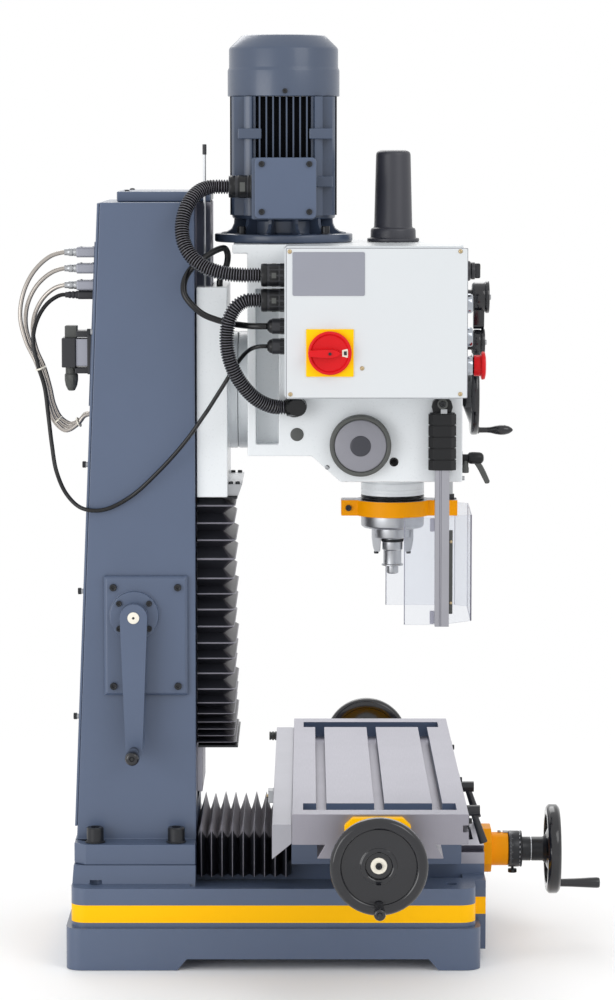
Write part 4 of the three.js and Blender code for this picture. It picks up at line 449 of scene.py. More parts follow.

# %% [markdown]
# The guard's screen is clear sheet: it shows what is behind it and mirrors the sky faintly. A mix of a
# see-through and a glossy shader gives that without bending the light, as a thin sheet does. Its sawn edges
# are frosted, so they carry the light and draw the screen's outline. Its bends carry painted lines: a grey
# painted highlight, and a dark painted shade where the near panel is seen edge on.

# %% The clear sheet
clear_sheet, tree, pane = new_finish("clear polycarbonate sheet")
pane.inputs["Base Color"].default_value = linear("f2f3f6")
pane.inputs["Roughness"].default_value = 0.06
through = node(tree, "BsdfTransparent", {"Color": linear("f7f8fa")})
edge = node(tree, "LayerWeight", {"Blend": 0.25})
share = node(tree, "MapRange", {"To Min": 0.03, "To Max": 0.4}, {"Value": (edge, "Facing")})
mixed(tree, share, through, pane)
frosted_and_bend_highlight = finish("sawn edge of clear sheet", "a4a5b3", 0.0, 0.3, 0.6, 0.01, shade=0.05)
edge_on_painted_shade = finish("folded edge of clear sheet", "6f6c7e", 0.0, 0.3, 0.6, 0.01, shade=0.05)
print("finishes made:", len(bpy.data.materials))

# %% [markdown]
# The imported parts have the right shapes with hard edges. A real casting has no sharp edge: its corners were
# rounded in the pattern and again by filler and paint. This helper copies a part, joins its flat facets
# into whole faces, rounds every edge that is long enough to take it, and shades what is left smoothly. Cuts
# are extra edges in flat faces, for where one colour of paint ends and the next begins.

# %% Settled normals
def settled(mesh, degrees):
    """Smooths a mesh up to an angle, with normals weighted by area, so that its large faces stay flat."""
    mesh.shade_smooth()
    mesh.set_sharp_from_angle(angle=math.radians(degrees))
    limit = math.cos(math.radians(degrees))
    around = [[] for point in mesh.vertices]
    for face in mesh.polygons:
        for vertex in face.vertices:
            around[vertex].append(face)
    corners = []
    for face in mesh.polygons:
        own = face.normal
        for vertex in face.vertices:
            total = Vector()
            for other in around[vertex]:
                if other.normal.dot(own) > limit:
                    total += other.normal * other.area
            corners.append(total.normalized() if total.length > 0 else own.copy())
    mesh.normals_split_custom_set(corners)


def settled_piece(name, shape, material, body, degrees=34):
    """Makes a piece in one finish from a bmesh, with its normals settled."""
    made = bpy.data.meshes.new(name)
    shape.to_mesh(made)
    shape.free()
    made.materials.append(material)
    settled(made, degrees)
    return link(name, made, body)


print("helpers for smooth shading defined")

# %% A part with its edges eased
JOINED = 0.00002  # points that are closer than this, in metres, are one
FLAT, SHARP = 0.6, 28  # degrees: facets that lie flatter are one face, and edges that turn more are eased
ROOM = 2.2  # an edge and its faces are this many times as long and as wide as what is cut off


def eased(cad_node, material, radius=1.0, cuts=()):
    """Stands for a CAD node: the same shape with rounded edges and a finish, cut across at heights in mm."""
    source = frame["nodes"][cad_node]
    shape = bmesh.new()
    shape.from_mesh(source.data)
    bmesh.ops.remove_doubles(shape, verts=shape.verts, dist=JOINED)
    bmesh.ops.dissolve_limit(shape, angle_limit=math.radians(FLAT), verts=shape.verts, edges=shape.edges)
    offset = radius * MM
    corners = [edge for edge in shape.edges if len(edge.link_faces) == 2
        and edge.calc_face_angle(0) > math.radians(SHARP) and edge.calc_length() > ROOM * offset
        and all(face.calc_area() > ROOM * offset * edge.calc_length() for face in edge.link_faces)]
    bmesh.ops.bevel(shape, geom=corners, offset=offset, offset_type="OFFSET", segments=2, profile=0.5,
        affect="EDGES", clamp_overlap=True)
    for height in cuts:
        bmesh.ops.bisect_plane(shape, geom=shape.verts[:] + shape.edges[:] + shape.faces[:],
            plane_co=(0, 0, height * MM), plane_no=(0, 0, 1), dist=0.000001)
    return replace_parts(settled_piece(cad_node + "_dressed", shape, material, source["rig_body"]), cad_node)


def painted(thing, material, test):
    """Gives a second finish to the faces whose middle, in millimetres, passes the test."""
    thing.data.materials.append(material)
    for face in thing.data.polygons:
        if test(*(face.center / MM)):
            face.material_index = len(thing.data.materials) - 1
    return thing


print("the parts weigh in at", sum(len(part.data.polygons) for part in frame["nodes"].values()), "facets")

# %% [markdown]
# Round parts come from a lathe, so they are drawn as one: a profile of radius and distance, turned about an
# axis. A corner in the profile gets a small chamfer, as a turner breaks every edge. Sixty-four sides look
# round.

# %% Crisp meshes
CRISP = 30  # degrees: edges that turn more stay sharp


def directions(axis, sign=1):
    """A unit vector along an axis, and two more that are square to it and to each other."""
    along = Vector([sign * float(axis == letter) for letter in "xyz"])
    side = Vector({"x": (0, 1, 0), "y": (0, 0, 1), "z": (1, 0, 0)}[axis])
    return along, side, along.cross(side)


def crisp_piece(name, points, faces, materials, body=None, closed=True):
    """Makes a piece that is smooth up to an angle. A closed skin gets its normals turned outward."""
    made = bpy.data.meshes.new(name)
    made.from_pydata(points, [], faces)
    if closed:
        shape = bmesh.new()
        shape.from_mesh(made)
        bmesh.ops.remove_doubles(shape, verts=shape.verts, dist=0.0000001)
        bmesh.ops.recalc_face_normals(shape, faces=shape.faces)
        shape.to_mesh(made)
        shape.free()
    for material in materials:
        made.materials.append(material)
    made.shade_smooth()
    made.set_sharp_from_angle(angle=math.radians(CRISP))
    return link(name, made, body)


print("x, with its sides:", directions("x"))

# %% Turned parts
def softened(profile, amount):
    """The profile with its corners cut back by up to amount."""
    eased_points = [profile[0]]
    for before, corner, after in zip(profile, profile[1:], profile[2:]):
        corner, before, after = Vector(corner), Vector(before), Vector(after)
        back, ahead = before - corner, after - corner
        short = min(back.length, ahead.length) < 0.01
        if corner.x <= 0 or short or back.angle(ahead) > math.radians(160):
            eased_points.append(tuple(corner))
            continue
        eased_points.append(tuple(corner + back * min(0.35, amount / back.length)))
        eased_points.append(tuple(corner + ahead * min(0.35, amount / ahead.length)))
    return eased_points + [profile[-1]]


def turned(name, axis, centre, profile, body, material, edge=0.5, sides=64, cad_node=None):
    """A solid of revolution: profile is (radius, distance along the axis) in mm, from a centre in mm.
    A profile that ends where it starts makes a ring, and any other is closed across its ends.
    It may stand for a CAD node."""
    ring_shaped = profile[0] == profile[-1]
    along, side, other = directions(axis)
    profile = softened(profile, edge)
    points = []
    for radius, distance in profile:
        ring = ring_points(Vector(centre) + along * distance, side, other, max(radius, 0.001), sides)
        points += [point * MM for point in ring]
    faces = rings_joined(len(profile), sides)
    made = crisp_piece(name, points, faces[:-2] if ring_shaped else faces, [material], body)
    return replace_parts(made, cad_node) if cad_node else made


print(len(softened([(0, 0), (10, 0), (10, 5), (0, 5)], 0.5)), "points from four")

# %% [markdown]
# Screws hold everything, and each sits where the photograph shows one. A cap screw has a hexagon socket, a
# button screw has a domed head with a small socket, and a hexagon bolt has a washer face. One mesh holds
# all the screws of one kind on one part. Plates and blocks are boxes whose edges are rounded by the amount
# a press or a mould leaves.

# %% Screws
# Each row is a radius and a height, both as shares of the head's radius, and 1 where the ring is a hexagon.
HEADS = {
    "cap": [(1.0, 0, 0), (1.0, 0.85, 0), (0.9, 1.0, 0), (0.58, 1.0, 0), (0.55, 0.96, 1), (0.55, 0.4, 1),
            (0.02, 0.4, 0)],
    "button": [(1.0, 0, 0), (0.97, 0.22, 0), (0.78, 0.46, 0), (0.5, 0.58, 0), (0.44, 0.56, 1),
               (0.44, 0.2, 1), (0.02, 0.2, 0)],
    "slot": [(1.0, 0, 0), (0.98, 0.05, 0), (0.02, 0.05, 0)],
    "hexagon": [(1.25, 0, 0), (1.25, 0.14, 0), (1.0, 0.15, 0), (1.0, 0.16, 1), (1.0, 0.75, 1),
                (0.86, 0.8, 0), (0.02, 0.8, 0)],
}
SCREW_SIDES = 24


def screws(name, kind, places, axis, sign, radius, body, material=blackened):
    """Screw heads, open below, at places in mm, which stand out along an axis in the direction of sign."""
    along, side, other = directions(axis, sign)
    points, faces = [], []
    skin = rings_joined(len(HEADS[kind]), SCREW_SIDES)
    del skin[-2]
    for place in places:
        faces += [tuple(len(points) + corner for corner in face) for face in skin]
        for share, height, hexagon in HEADS[kind]:
            for turn in range(SCREW_SIDES):
                angle = 2 * math.pi * turn / SCREW_SIDES
                flat = 0.866 / math.cos(angle % (math.pi / 3) - math.pi / 6) if hexagon else 1
                reach = side * math.cos(angle) + other * math.sin(angle)
                points.append((Vector(place) + (reach * share * flat + along * height) * radius) * MM)
    return crisp_piece(name, points, faces, [material], body, closed=False)


print("screw heads:", ", ".join(HEADS))

# %% Plates and prisms
def plate(name, low, high, radius, body, material, corner=0.0, axis="x"):
    """A box from one corner to the other in mm, its edges rounded, and those along an axis by corner."""
    shape = bmesh.new()
    bmesh.ops.create_cube(shape, size=1.0)
    low, high = Vector(low), Vector(high)
    for point in shape.verts:
        point.co = Vector([((low + high)[k] / 2 + point.co[k] * abs((high - low)[k])) * MM
            for k in range(3)])
    if corner:
        way = "xyz".index(axis)
        upright = [edge for edge in shape.edges
            if abs(edge.verts[0].co[way] - edge.verts[1].co[way]) > 0.9 * edge.calc_length()]
        bmesh.ops.bevel(shape, geom=upright, offset=corner * MM, segments=5, profile=0.5, affect="EDGES")
    bmesh.ops.bevel(shape, geom=shape.edges[:], offset=radius * MM, segments=3, profile=0.5, affect="EDGES")
    return settled_piece(name, shape, material, body, 40)


def prism(name, outline, low, high, body, material, edge=0.0, axis="z", cad_node=None):
    """A prism in mm along an axis: over (x, y) points along z, (y, z) points along x, or (x, z) along y."""
    order = {"x": (2, 0, 1), "y": (0, 2, 1), "z": (0, 1, 2)}[axis]
    shape = bmesh.new()
    face = shape.faces.new([shape.verts.new([(a, b, low)[k] * MM for k in order]) for a, b in outline])
    raised = bmesh.ops.extrude_face_region(shape, geom=[face])
    for piece in raised["geom"]:
        if isinstance(piece, bmesh.types.BMVert):
            piece.co["xyz".index(axis)] = high * MM
    bmesh.ops.recalc_face_normals(shape, faces=shape.faces)
    if edge:
        bmesh.ops.bevel(shape, geom=shape.edges[:], offset=edge * MM, segments=2, profile=0.5,
            affect="EDGES")
    made = settled_piece(name, shape, material, body)
    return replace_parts(made, cad_node) if cad_node else made


def trimmed(thing, test):
    """Takes away the faces whose middle, in millimetres, passes the test."""
    shape = bmesh.new()
    shape.from_mesh(thing.data)
    bmesh.ops.delete(shape, geom=[face for face in shape.faces if test(*(face.calc_center_median() / MM))],
        context="FACES")
    shape.to_mesh(thing.data)
    shape.free()
    return thing


print("plates and prisms defined")

# %% [markdown]
# The base is one iron casting under slate enamel, with a yellow band round it between two masked lines. Its
# slide ways stand above the paint: they are ground bright, because the saddle runs on them. Paint lines are
# cut into the faces, so each colour is a slot of the same mesh. Screws and washers are pieces of their own,
# as in the real thing.

# %% The base and the column
BAND_LOW, BAND_HIGH, WAYS_LOW, DOVETAIL_LOW = 67, 92, 130.5, 303
BOLT_X, BOLT_YS = 142, (225, 341)
CRANK_Y, CRANK_Z = 284, 497
base = eased("base_casting", slate, 2.2, cuts=(BAND_LOW, BAND_HIGH, WAYS_LOW))
painted(base, yellow, lambda x, y, z: BAND_LOW < z < BAND_HIGH and (abs(x) > 186 or y < -184 or y > 354))
painted(base, ground, lambda x, y, z: abs(x) < 98 and y < 196 and z > WAYS_LOW)
column = eased("column", slate, 2.0, cuts=(DOVETAIL_LOW,))
trimmed(column, lambda x, y, z: y < 196.6 and 200 < z < DOVETAIL_LOW)
painted(column, blackened, lambda x, y, z: z > 171.6 and min(math.hypot(abs(x) - BOLT_X, y - near)
    for near in BOLT_YS) < 13)
painted(column, ground, lambda x, y, z: y < 196.8 and z > 216)
plate("column_way_end", (-74, 189, 232), (74, 197.4, 305), 1.0, "stand", ground)


def column_rear(z, foot=141, rise=943, face=373.5, taper=39):
    """Where the back cover's face lies, in mm, at a height: the column tapers toward its top."""
    return face - taper * (z - foot) / rise


prism("column_rear_cover", [(column_rear(z) - out, z) for z, out in ((190, 0), (1083, 0), (1083, 3.4),
    (190, 3.4))], -119.6, 119.6, "stand", slate, edge=1.0, axis="x")
print("base and column eased")

# %% The column's covers and screws
eased("column_top_cover", slate, 2.0)
eased("z_gear_cover", slate, 1.5)
screws("column_foot_bolts", "cap", [(x, y, 181) for x in (-BOLT_X, BOLT_X) for y in BOLT_YS], "z", 1, 12.2,
    "stand")
for side, x in (("left", -BOLT_X), ("right", BOLT_X)):
    for y in BOLT_YS:
        turned(f"column_foot_washer_{side}_{y}", "z", (x, y, 0), [(0, 171.3), (14.4, 171.3), (14.4, 173),
            (12.2, 173.2), (12.2, 182), (0, 182)], "stand", blackened)
screws("gear_cover_screws", "cap", [(-129.2, y, z) for y in (222, 314) for z in (395, 537)], "x", -1, 5.2,
    "stand")
screws("crank_flange_screws", "cap", [(-137.4, CRANK_Y + 28 * math.cos(turn), CRANK_Z + 28 * math.sin(turn))
    for turn in (0.7, 2.44, 3.84, 5.58)], "x", -1, 4.2, "stand")
for name, radius, out, finish_of in (("necks", 4, 0, zinc), ("heads", 4.8, 3.4, blackened)):
    screws("column_rear_" + name, "cap", [(side * 106, column_rear(z) + out, z) for side in (-1, 1)
        for z in (900, 711, 529, 348)], "y", 1, radius, "stand", finish_of)
screws("column_cover_screws", "button", [(x, y, 1099) for x in (-78, 78) for y in (190, 294)], "z", 1, 4,
    "stand")
print("base and column dressed")

# %% [markdown]
# The crank is a tapered cast arm with a turned grip. Its hub is held by a screw through a nylon washer. The
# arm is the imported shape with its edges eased, and the grip is turned anew, because its waist is what the
# hand and the eye know.

# %% The lifting crank
eased("z_crank", slate, 1.6)
turned("crank_washer", "x", (-159.6, CRANK_Y, CRANK_Z), [(0, 0.4), (8.4, 0.4), (8.4, -1.2), (7.6, -1.8),
    (0, -1.8)], "lift_crank", cream)
screws("crank_screw", "slot", [(-161.7, CRANK_Y, CRANK_Z)], "x", -1, 1.8, "lift_crank", black_abs_and_vent_shade)
turned("crank_grip", "x", (-159.9, CRANK_Y, 305), [(0, 0), (7.2, 0), (7.2, -3), (6.4, -7), (8.4, -22),
    (10.2, -42), (10.4, -54), (9.4, -61), (7.6, -63.4), (3.2, -63.6), (3.2, -61), (0, -61)],
    "lift_crank_handle", bakelite, edge=0.8, cad_node="z_crank_handle")
print("crank dressed")

# %% [markdown]
# The table is cast iron, ground on every working face. Its slots and troughs are left as cast and painted
# slate. Stop dogs slide in a slot along the front edge, and an aluminium channel on the back guards the
# scale. The brackets at its ends are an enamelled plate on a block: the plate is drawn as a prism over its
# eight-cornered outline.

# %% The table
table = eased("table", ground, 0.5)
painted(table, slate, lambda x, y, z: -175 < y < 50 and 236 < z < 260 and abs(x) < 399)
painted(table, milled, lambda x, y, z: (-175 < y < 50 and 236 < z < 242 and abs(x) < 330) or abs(x) > 399.3)
eased("saddle", slate, 2.0)
eased("table_scale_cover", extrusion, 0.6)
for side, sign in (("left", -1), ("right", 1)):
    eased("x_bracket_" + side, yellow, 1.5)
    prism("x_bracket_plate_" + side, [(-24, 258.4), (-92, 258.4), (-103, 247.6), (-103, 200), (-92, 184),
        (-24, 184), (-13, 200), (-13, 247.6)], sign * 400.4, sign * 413.6, "table_group", yellow, edge=1.5,
        axis="x")
prism("y_bracket_plate", [(-20, 167), (20, 167), (41, 150), (41, 118), (20, 102), (-20, 102), (-41, 118),
    (-41, 150)], -232.6, -218.9, "stand", orange, edge=1.5, axis="y", cad_node="y_bracket")
turned("y_bracket_barrel", "y", (0, 0, 133), [(0, -232), (24.4, -232), (24.4, -258.2), (0, -258.2)],
    "stand", orange, edge=1.0, sides=96)
turned("scale_boot", "y", (372, 0, 238), [(0, 85.2), (7, 85.2), (7, 88), (5.8, 88.4), (5.8, 89.6), (7, 90),
    (7, 92.4), (5.8, 92.8), (5.8, 94), (6.6, 94.4), (6.6, 97), (0, 97)], "table_group", dull, edge=0.2,
    sides=32)
plate("scale_block", (-112, 85.2, 222), (-88, 93.6, 240), 1.0, "table_group", zinc)
screws("scale_block_screw", "cap", [(-104, 93.6, 231)], "y", 1, 2.6, "table_group", brass)
for name, middle in (("left", -343), ("middle", -28), ("right", 250)):
    plate("stop_dog_" + name, (middle - 10, -185, 231), (middle + 10, -181, 250), 1.0, "table_group",
        blackened)
    screws("stop_dog_screw_" + name, "cap", [(middle, -185, 241)], "y", -1, 4, "table_group")
print("table dressed")

# %% [markdown]
# Each screw ends in a dial, a toothed clutch and a black handwheel. The wheel is polished phenolic: a flat
# rim, a dished web and a hub with a nylon washer under its screw. The grip spins on its own pin. The dial
# is blackened and has a bright line for every division, with longer lines at the fifths.

# %% A handwheel, its dial and its grip
DIAL_MARKS = 80


def flipped(profile, way):
    """The profile with its distances mirrored if way is negative."""
    return [(radius, distance * way) for radius, distance in profile]


def dressed_wheel(axis, face, way, middle, body, cad_node):
    """Everything on the end of a screw, outward from the face that its bracket is bolted to."""
    centre = {"x": (face, *middle), "y": (middle[1], face, middle[0])}[axis]
    disc_profile = [(17, 94.1), (24, 95.3), (30, 98), (47, 101.4), (51, 101), (51, 95.3), (61.5, 95.3),
        (65.5, 99.3), (65.5, 110.3), (61.5, 114.3), (54, 114.6), (51, 113), (50.8, 108.6), (40, 107.5),
        (25, 104.3), (24, 106), (19, 106), (18, 104), (18, 100.3), (0, 100.3)]
    turned(body + "_wheel", axis, centre, flipped(disc_profile, way), body, bakelite, edge=0.8, sides=96,
        cad_node=cad_node)
    turned(body + "_washer", axis, centre, flipped([(0, 100), (11, 100), (11, 102.4), (0, 102.4)], way),
        body, cream)
    hub = list(centre)
    hub["xyz".index(axis)] += way * 102.3
    screws(body + "_hub_screw", "cap", [hub], axis, way, 4.6, body)
    dial = [(12.6, 39.6), (26.2, 39.6), (26.5, 40.4), (26.5, 55), (25.8, 55.4), (25.8, 56.2), (26.5, 56.6),
        (26.5, 59.2), (18.2, 59.4), (17.6, 60), (17.6, 72), (16.6, 72.4), (16.6, 73.4), (17.6, 74),
        (17.6, 90), (20, 92.4), (22, 95), (12.6, 95)]
    turned(body + "_dial", axis, centre, flipped(dial, way), body, blackened, edge=0.3)
    points, faces = [], []
    along, side, other = directions(axis, way)
    for mark in range(DIAL_MARKS):
        angle = 2 * math.pi * mark / DIAL_MARKS
        reach = side * math.cos(angle) + other * math.sin(angle)
        across = other * math.cos(angle) - side * math.sin(angle)
        long = 5 if mark % 5 == 0 else 3
        for width, distance in ((-0.12, 41), (0.12, 41), (0.12, 41 + long), (-0.12, 41 + long)):
            points.append((Vector(centre) + reach * 26.56 + across * width + along * distance) * MM)
        faces.append(tuple(range(len(points) - 4, len(points))))
    crisp_piece(body + "_dial_marks", points, faces, [zinc], body, closed=False)
    below = [part + way * 46 * float(axis == letter) for part, letter in zip(centre, "xyz")]
    turned(body + "_thumb_screw", "z", below, [(0, -25), (2, -25), (2, -29.4), (6.2, -29.8), (6.5, -30.6),
        (6.5, -34.4), (6.2, -35.2), (0, -35.4)], body, blackened, edge=0.3, sides=24)


def grip(name, axis, centre, way, body, cad_node):
    """A turned grip with a waist, a pin sunk in its end and a round shoulder."""
    neck, swell, length = 6.2, 8.0, 60.7
    profile = [(0, 0), (neck, 0), (neck * 0.94, length * 0.06), (neck * 1.02, length * 0.35),
        (swell, length * 0.93), (swell * 0.93, length * 0.98), (swell * 0.8, length), (3.4, length),
        (3.4, length - 2), (0, length - 2)]
    turned(name, axis, centre, flipped(profile, way), body, bakelite, edge=0.8, sides=40, cad_node=cad_node)


print(DIAL_MARKS, "marks on a dial")

# %% The three handwheels
dressed_wheel("x", -400.3, -1, (-58, 211), "table_screw", "x_handwheel_left")
dressed_wheel("y", -218.9, -1, (133, 0), "cross_screw", "y_handwheel")
for piece in [thing for thing in bpy.data.objects if thing.name.startswith("table_screw_")]:
    twin = bpy.data.objects.new(piece.name.replace("table_screw", "table_screw_right"), piece.data.copy())
    for point in twin.data.vertices:
        point.co.x = -point.co.x
    twin.data.flip_normals()
    bpy.context.scene.collection.objects.link(twin)
    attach(twin, "table_screw")
    if twin.name.endswith("_wheel"):
        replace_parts(twin, "x_handwheel_right")
grip("table_grip_left", "x", (-514.6, -58, 160), -1, "table_handle_left", "x_handle_left")
grip("table_grip_right", "x", (514.6, -58, 160), 1, "table_handle_right", "x_handle_right")
grip("cross_grip", "y", (0, -333.2, 82), -1, "cross_handle", "y_handle")
plate("cross_index", (-4, -258.4, 157.4), (4, -250.5, 160), 0.6, "stand", zinc)
screws("cross_bracket_screws", "cap", [(0, -245, 157.8)], "z", 1, 2.4, "stand", zinc)
for axis in "xyz":
    eased(axis + "_leadscrew", steel, 0.4)
print("wheels dressed")

# %% [markdown]
# The motor's housing is an aluminium extrusion with four broad corner pillars and thin fins between them,
# all under the same slate enamel. It stands on a round flange, webbed and bolted down, and a pressed fan
# cowl closes the top. The section is worked out for one quarter and turned three times, so that the fins
# stay even, and is then raised.

# %% The motor
MOTOR_Y = 71.5


def housing_outline():
    """The motor's section: in each quarter a corner pillar, then fins that all point the same way."""
    points = []
    for quarter in range(4):
        cos, sin = round(math.cos(quarter * math.pi / 2)), round(math.sin(quarter * math.pi / 2))
        row = [(52, -56), (70, -56), (74, -50), (74, -45), (68, -42.5), (68, -39.5), (58, -38)]
        for fin in range(8):
            middle = (fin - 3.5) * 9.6
            row += [(58, middle - 1.5), (76.5, middle - 1.1), (76.5, middle + 1.1), (58, middle + 1.5)]
        row += [(58, 38), (68, 39.5), (68, 42.5), (74, 45), (74, 50), (70, 56), (56, 56)]
        points += [(x * cos - y * sin, MOTOR_Y + x * sin + y * cos) for x, y in row]
    return points


housing = prism("motor_housing", housing_outline(), 1064.5, 1233.3, "head", motor_paint)
# The floors and sides of the gaps between the fins are painted dark, as painted shade.
painted(housing, fin_gap_painted_shade, lambda x, y, z: max(abs(x), abs(y - MOTOR_Y)) < 68 and 1070 < z < 1230
    and min(abs(x), abs(y - MOTOR_Y)) < 37.5)
turned("motor_foot", "z", (0, MOTOR_Y, 0), [(0, 1025.4), (98, 1025.4), (99.6, 1027), (99.6, 1036),
    (98, 1037.4), (57, 1037.4), (56, 1039), (56, 1056), (60, 1058), (73, 1059), (74.5, 1061), (74.5, 1068),
    (0, 1068)], "head", motor_paint, edge=0.8, cad_node="motor_body")
web = [(54, 1036.5), (93, 1036.5), (93, 1038.4), (84, 1040), (77, 1044.5), (73.5, 1052), (73, 1059.5),
    (54, 1059.5)]
for number in range(12):
    rib = prism("motor_web_" + str(number), web, -2.6, 2.6, "head", motor_paint, edge=0.6, axis="y")
    turn = Matrix.Rotation(math.radians(15 + 30 * number), 4, "Z")
    rib.data.transform(Matrix.Translation((0, MOTOR_Y * MM, 0)) @ turn)
for number in range(4):
    turn = math.pi / 4 + number * math.pi / 2
    foot_x, foot_y = 85 * math.cos(turn), MOTOR_Y + 85 * math.sin(turn)
    turned("motor_bolt_" + str(number), "z", (foot_x, foot_y, 0), [(0, 1037), (7.4, 1037), (7.4, 1039),
        (6, 1039.2), (6, 1043.4), (0, 1043.4)], "head", blackened, edge=0.2, sides=32)
    screws("motor_bolt_head_" + str(number), "cap", [(foot_x, foot_y, 1043)], "z", 1, 6, "head")
for side, sign in (("left", -1), ("right", 1)):
    for low in (1105, 1173):
        for place, near, far in (("front", 1, 34.5), ("rear", 102.5, 136)):
            plate(f"motor_lug_{low}_{place}_{side}", (sign * 60, near, low), (sign * 78, far, low + 15),
                1.5, "head", motor_paint)
print("motor housed")

# %% The motor's cowl and terminal box
turned("fan_cowl", "z", (0, MOTOR_Y, 0), [(0, 1235), (77, 1235), (77, 1233.8), (80.6, 1233.8), (80.6, 1271),
    (78.6, 1275), (78.6, 1301.5), (76.5, 1304.6), (61, 1319.8), (58, 1321.4), (22, 1321.4), (20, 1320.4),
    (0, 1320.4)], "head", motor_paint, edge=0.8, sides=96, cad_node="motor_cowl")
screws("cowl_screws", "cap", [(-80.2, 69, 1241)], "x", -1, 3.6, "head")
turns = [(ring, 2 * math.pi * number / count) for ring, count in ((26, 12), (36, 18), (46, 24))
    for number in range(count)]
vents = [(ring * math.cos(turn), MOTOR_Y + ring * math.sin(turn), 1321.35) for ring, turn in turns]
# The vent holes are flat black discs laid on the cowl, as painted shade.
screws("cowl_vents", "slot", vents, "z", 1, 2.6, "head", black_abs_and_vent_shade)
painted(eased("terminal_box", motor_paint, 3.0), black_abs_and_vent_shade, lambda x, y, z: y > 115.8)
plate("terminal_lid", (-141, 24.6, 1061.6), (-136.5, 111.4, 1147), 1.2, "head", slate, corner=6)
screws("terminal_screws", "cap", [(-140.2, y, z) for y in (34.5, 101.5) for z in (1071, 1138)], "x", -1,
    4.3, "head")
turned("terminal_gland", "y", (-118, 0, 1106), [(0, 115.6), (16, 115.6), (16, 121), (13.6, 122),
    (16.2, 123), (16.2, 135), (14, 136), (14, 138), (15.6, 139), (15.6, 146), (13, 148), (9, 148)], "head",
    nylon, sides=32)
plate("terminal_gland_window", (-135, 125, 1099.4), (-133.4, 132.4, 1112.4), 0.3, "head", dull)
print("motor dressed, with", len(vents), "vents")

# %% [markdown]
# The head casting and its swivel are white enamel. The quill's return spring sits in a black drum with a
# satin disc. A nylon plug and an oil hole show beside it, and the conduit enters through a black elbow. The
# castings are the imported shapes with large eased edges, and what is screwed or pressed into them is turned
# and set on top.

# %% The head
head = eased("head_casting", white, 2.5)
painted(head, sheath, lambda x, y, z: x < -130.6 and abs(y - 56) < 20 and abs(z - 796) < 20)
carriage = eased("head_carriage", white, 2.0)
painted(carriage, zinc, lambda x, y, z: z > 966)
SPINDLE_Y = -87
SPRING_Y, SPRING_Z = -38, 741
turned("spring_drum", "x", (-130.3, SPRING_Y, SPRING_Z), [(0, 0), (43.6, 0), (43.6, -18.4), (42.6, -19.6),
    (38.6, -20), (37.6, -19), (37, -17), (0, -17)], "head", dull, edge=0.6, sides=96,
    cad_node="quill_spring_cap")
turned("spring_disc", "x", (-147.2, SPRING_Y, SPRING_Z), [(0, 0), (36.8, 0), (36.8, -1), (35.4, -2),
    (16, -4.4), (14.6, -4.4), (0, -4.4)], "head", disc, edge=0.6, sides=96)
turned("spring_hub", "x", (-151, SPRING_Y, SPRING_Z), [(0, 0), (14.6, 0), (14.6, -1.6), (13.2, -2.2),
    (0, -2.2)], "head", satin, edge=0.5)
turned("head_gland", "x", (-130, 56, 796), [(0, 0.4), (15.6, 0.4), (15.6, -3), (14.4, -4.6), (0, -4.6)],
    "head", nylon, edge=0.3)
turned("head_plug", "x", (-130.2, 51.9, 755.8), [(0, 0.6), (9.4, 0.6), (9.4, -0.6), (8.2, -1.4), (0, -1.4)],
    "head", dull, edge=0.3)
turned("oil_hole", "x", (-130.2, -85.8, 716.6), [(0, 0.4), (6.4, 0.4), (6.4, -0.5), (5.2, -0.5), (4.6, 0.2),
    (0, 0.2)], "head", sheath, edge=0.2)
turned("quill_wiper", "z", (0, SPINDLE_Y, 0), [(44.6, 651.6), (45.2, 651.6), (46.4, 653), (45.4, 654.6),
    (46.6, 656), (45.2, 657.8), (44.6, 658)], "head", sheath, edge=0.2, sides=96)
print("head and spring dressed")

# %% Screws, the scale's rod and the drawbar's cover
screws("head_side_screws", "button", [(-130.1, 9, 709)], "x", -1, 3.2, "head", zinc)
screws("head_front_screw", "cap", [(-118, -183.4, 692.5)], "y", -1, 3.2, "head", zinc)
screws("swivel_bolts", "hexagon", [(x, 103, 811 + rise) for x, rise in ((-66, 13), (66, 13), (-40, -58),
    (40, -58))], "y", 1, 7, "head")
screws("carriage_gib_screws", "cap", [(109.9, 158, z) for z in (700, 770, 850, 930)], "x", 1, 4, "carriage")
rod = [point.co / MM for point in frame["nodes"]["head_carriage"].data.vertices if point.co.z > 1.1]
rod_middle = sum(rod, Vector()) / len(rod)
turned("scale_rod_tip", "z", (rod_middle.x, rod_middle.y, 0), [(0, 1151), (2.9, 1151), (2.9, 1165.6),
    (0, 1165.6)], "carriage", black_abs_and_vent_shade, edge=0.4, sides=16)
prism("bellows_bracket", [(153, 664.6), (136.4, 664.6), (130.4, 681.6), (153, 681.6)], -96, 96, "carriage",
    zinc, edge=0.6, axis="x")
screws("bellows_bracket_screws", "cap", [(x, y, 681.4) for x in (-88, 88) for y in (137, 147)], "z", 1, 3.4,
    "carriage")
turned("drawbar_cap", "z", (0, SPINDLE_Y, 0), [(0, 1025.5), (37.4, 1025.5), (37.8, 1027), (37.4, 1030.2),
    (32.8, 1031), (32.6, 1041.5), (31.4, 1044.6), (28.4, 1045.4), (27.6, 1047), (25, 1150), (24.2, 1153.4),
    (22, 1155.4), (17, 1157), (0, 1157)], "head", satin, edge=0.6, sides=96, cad_node="drawbar_cover")
print("head dressed")
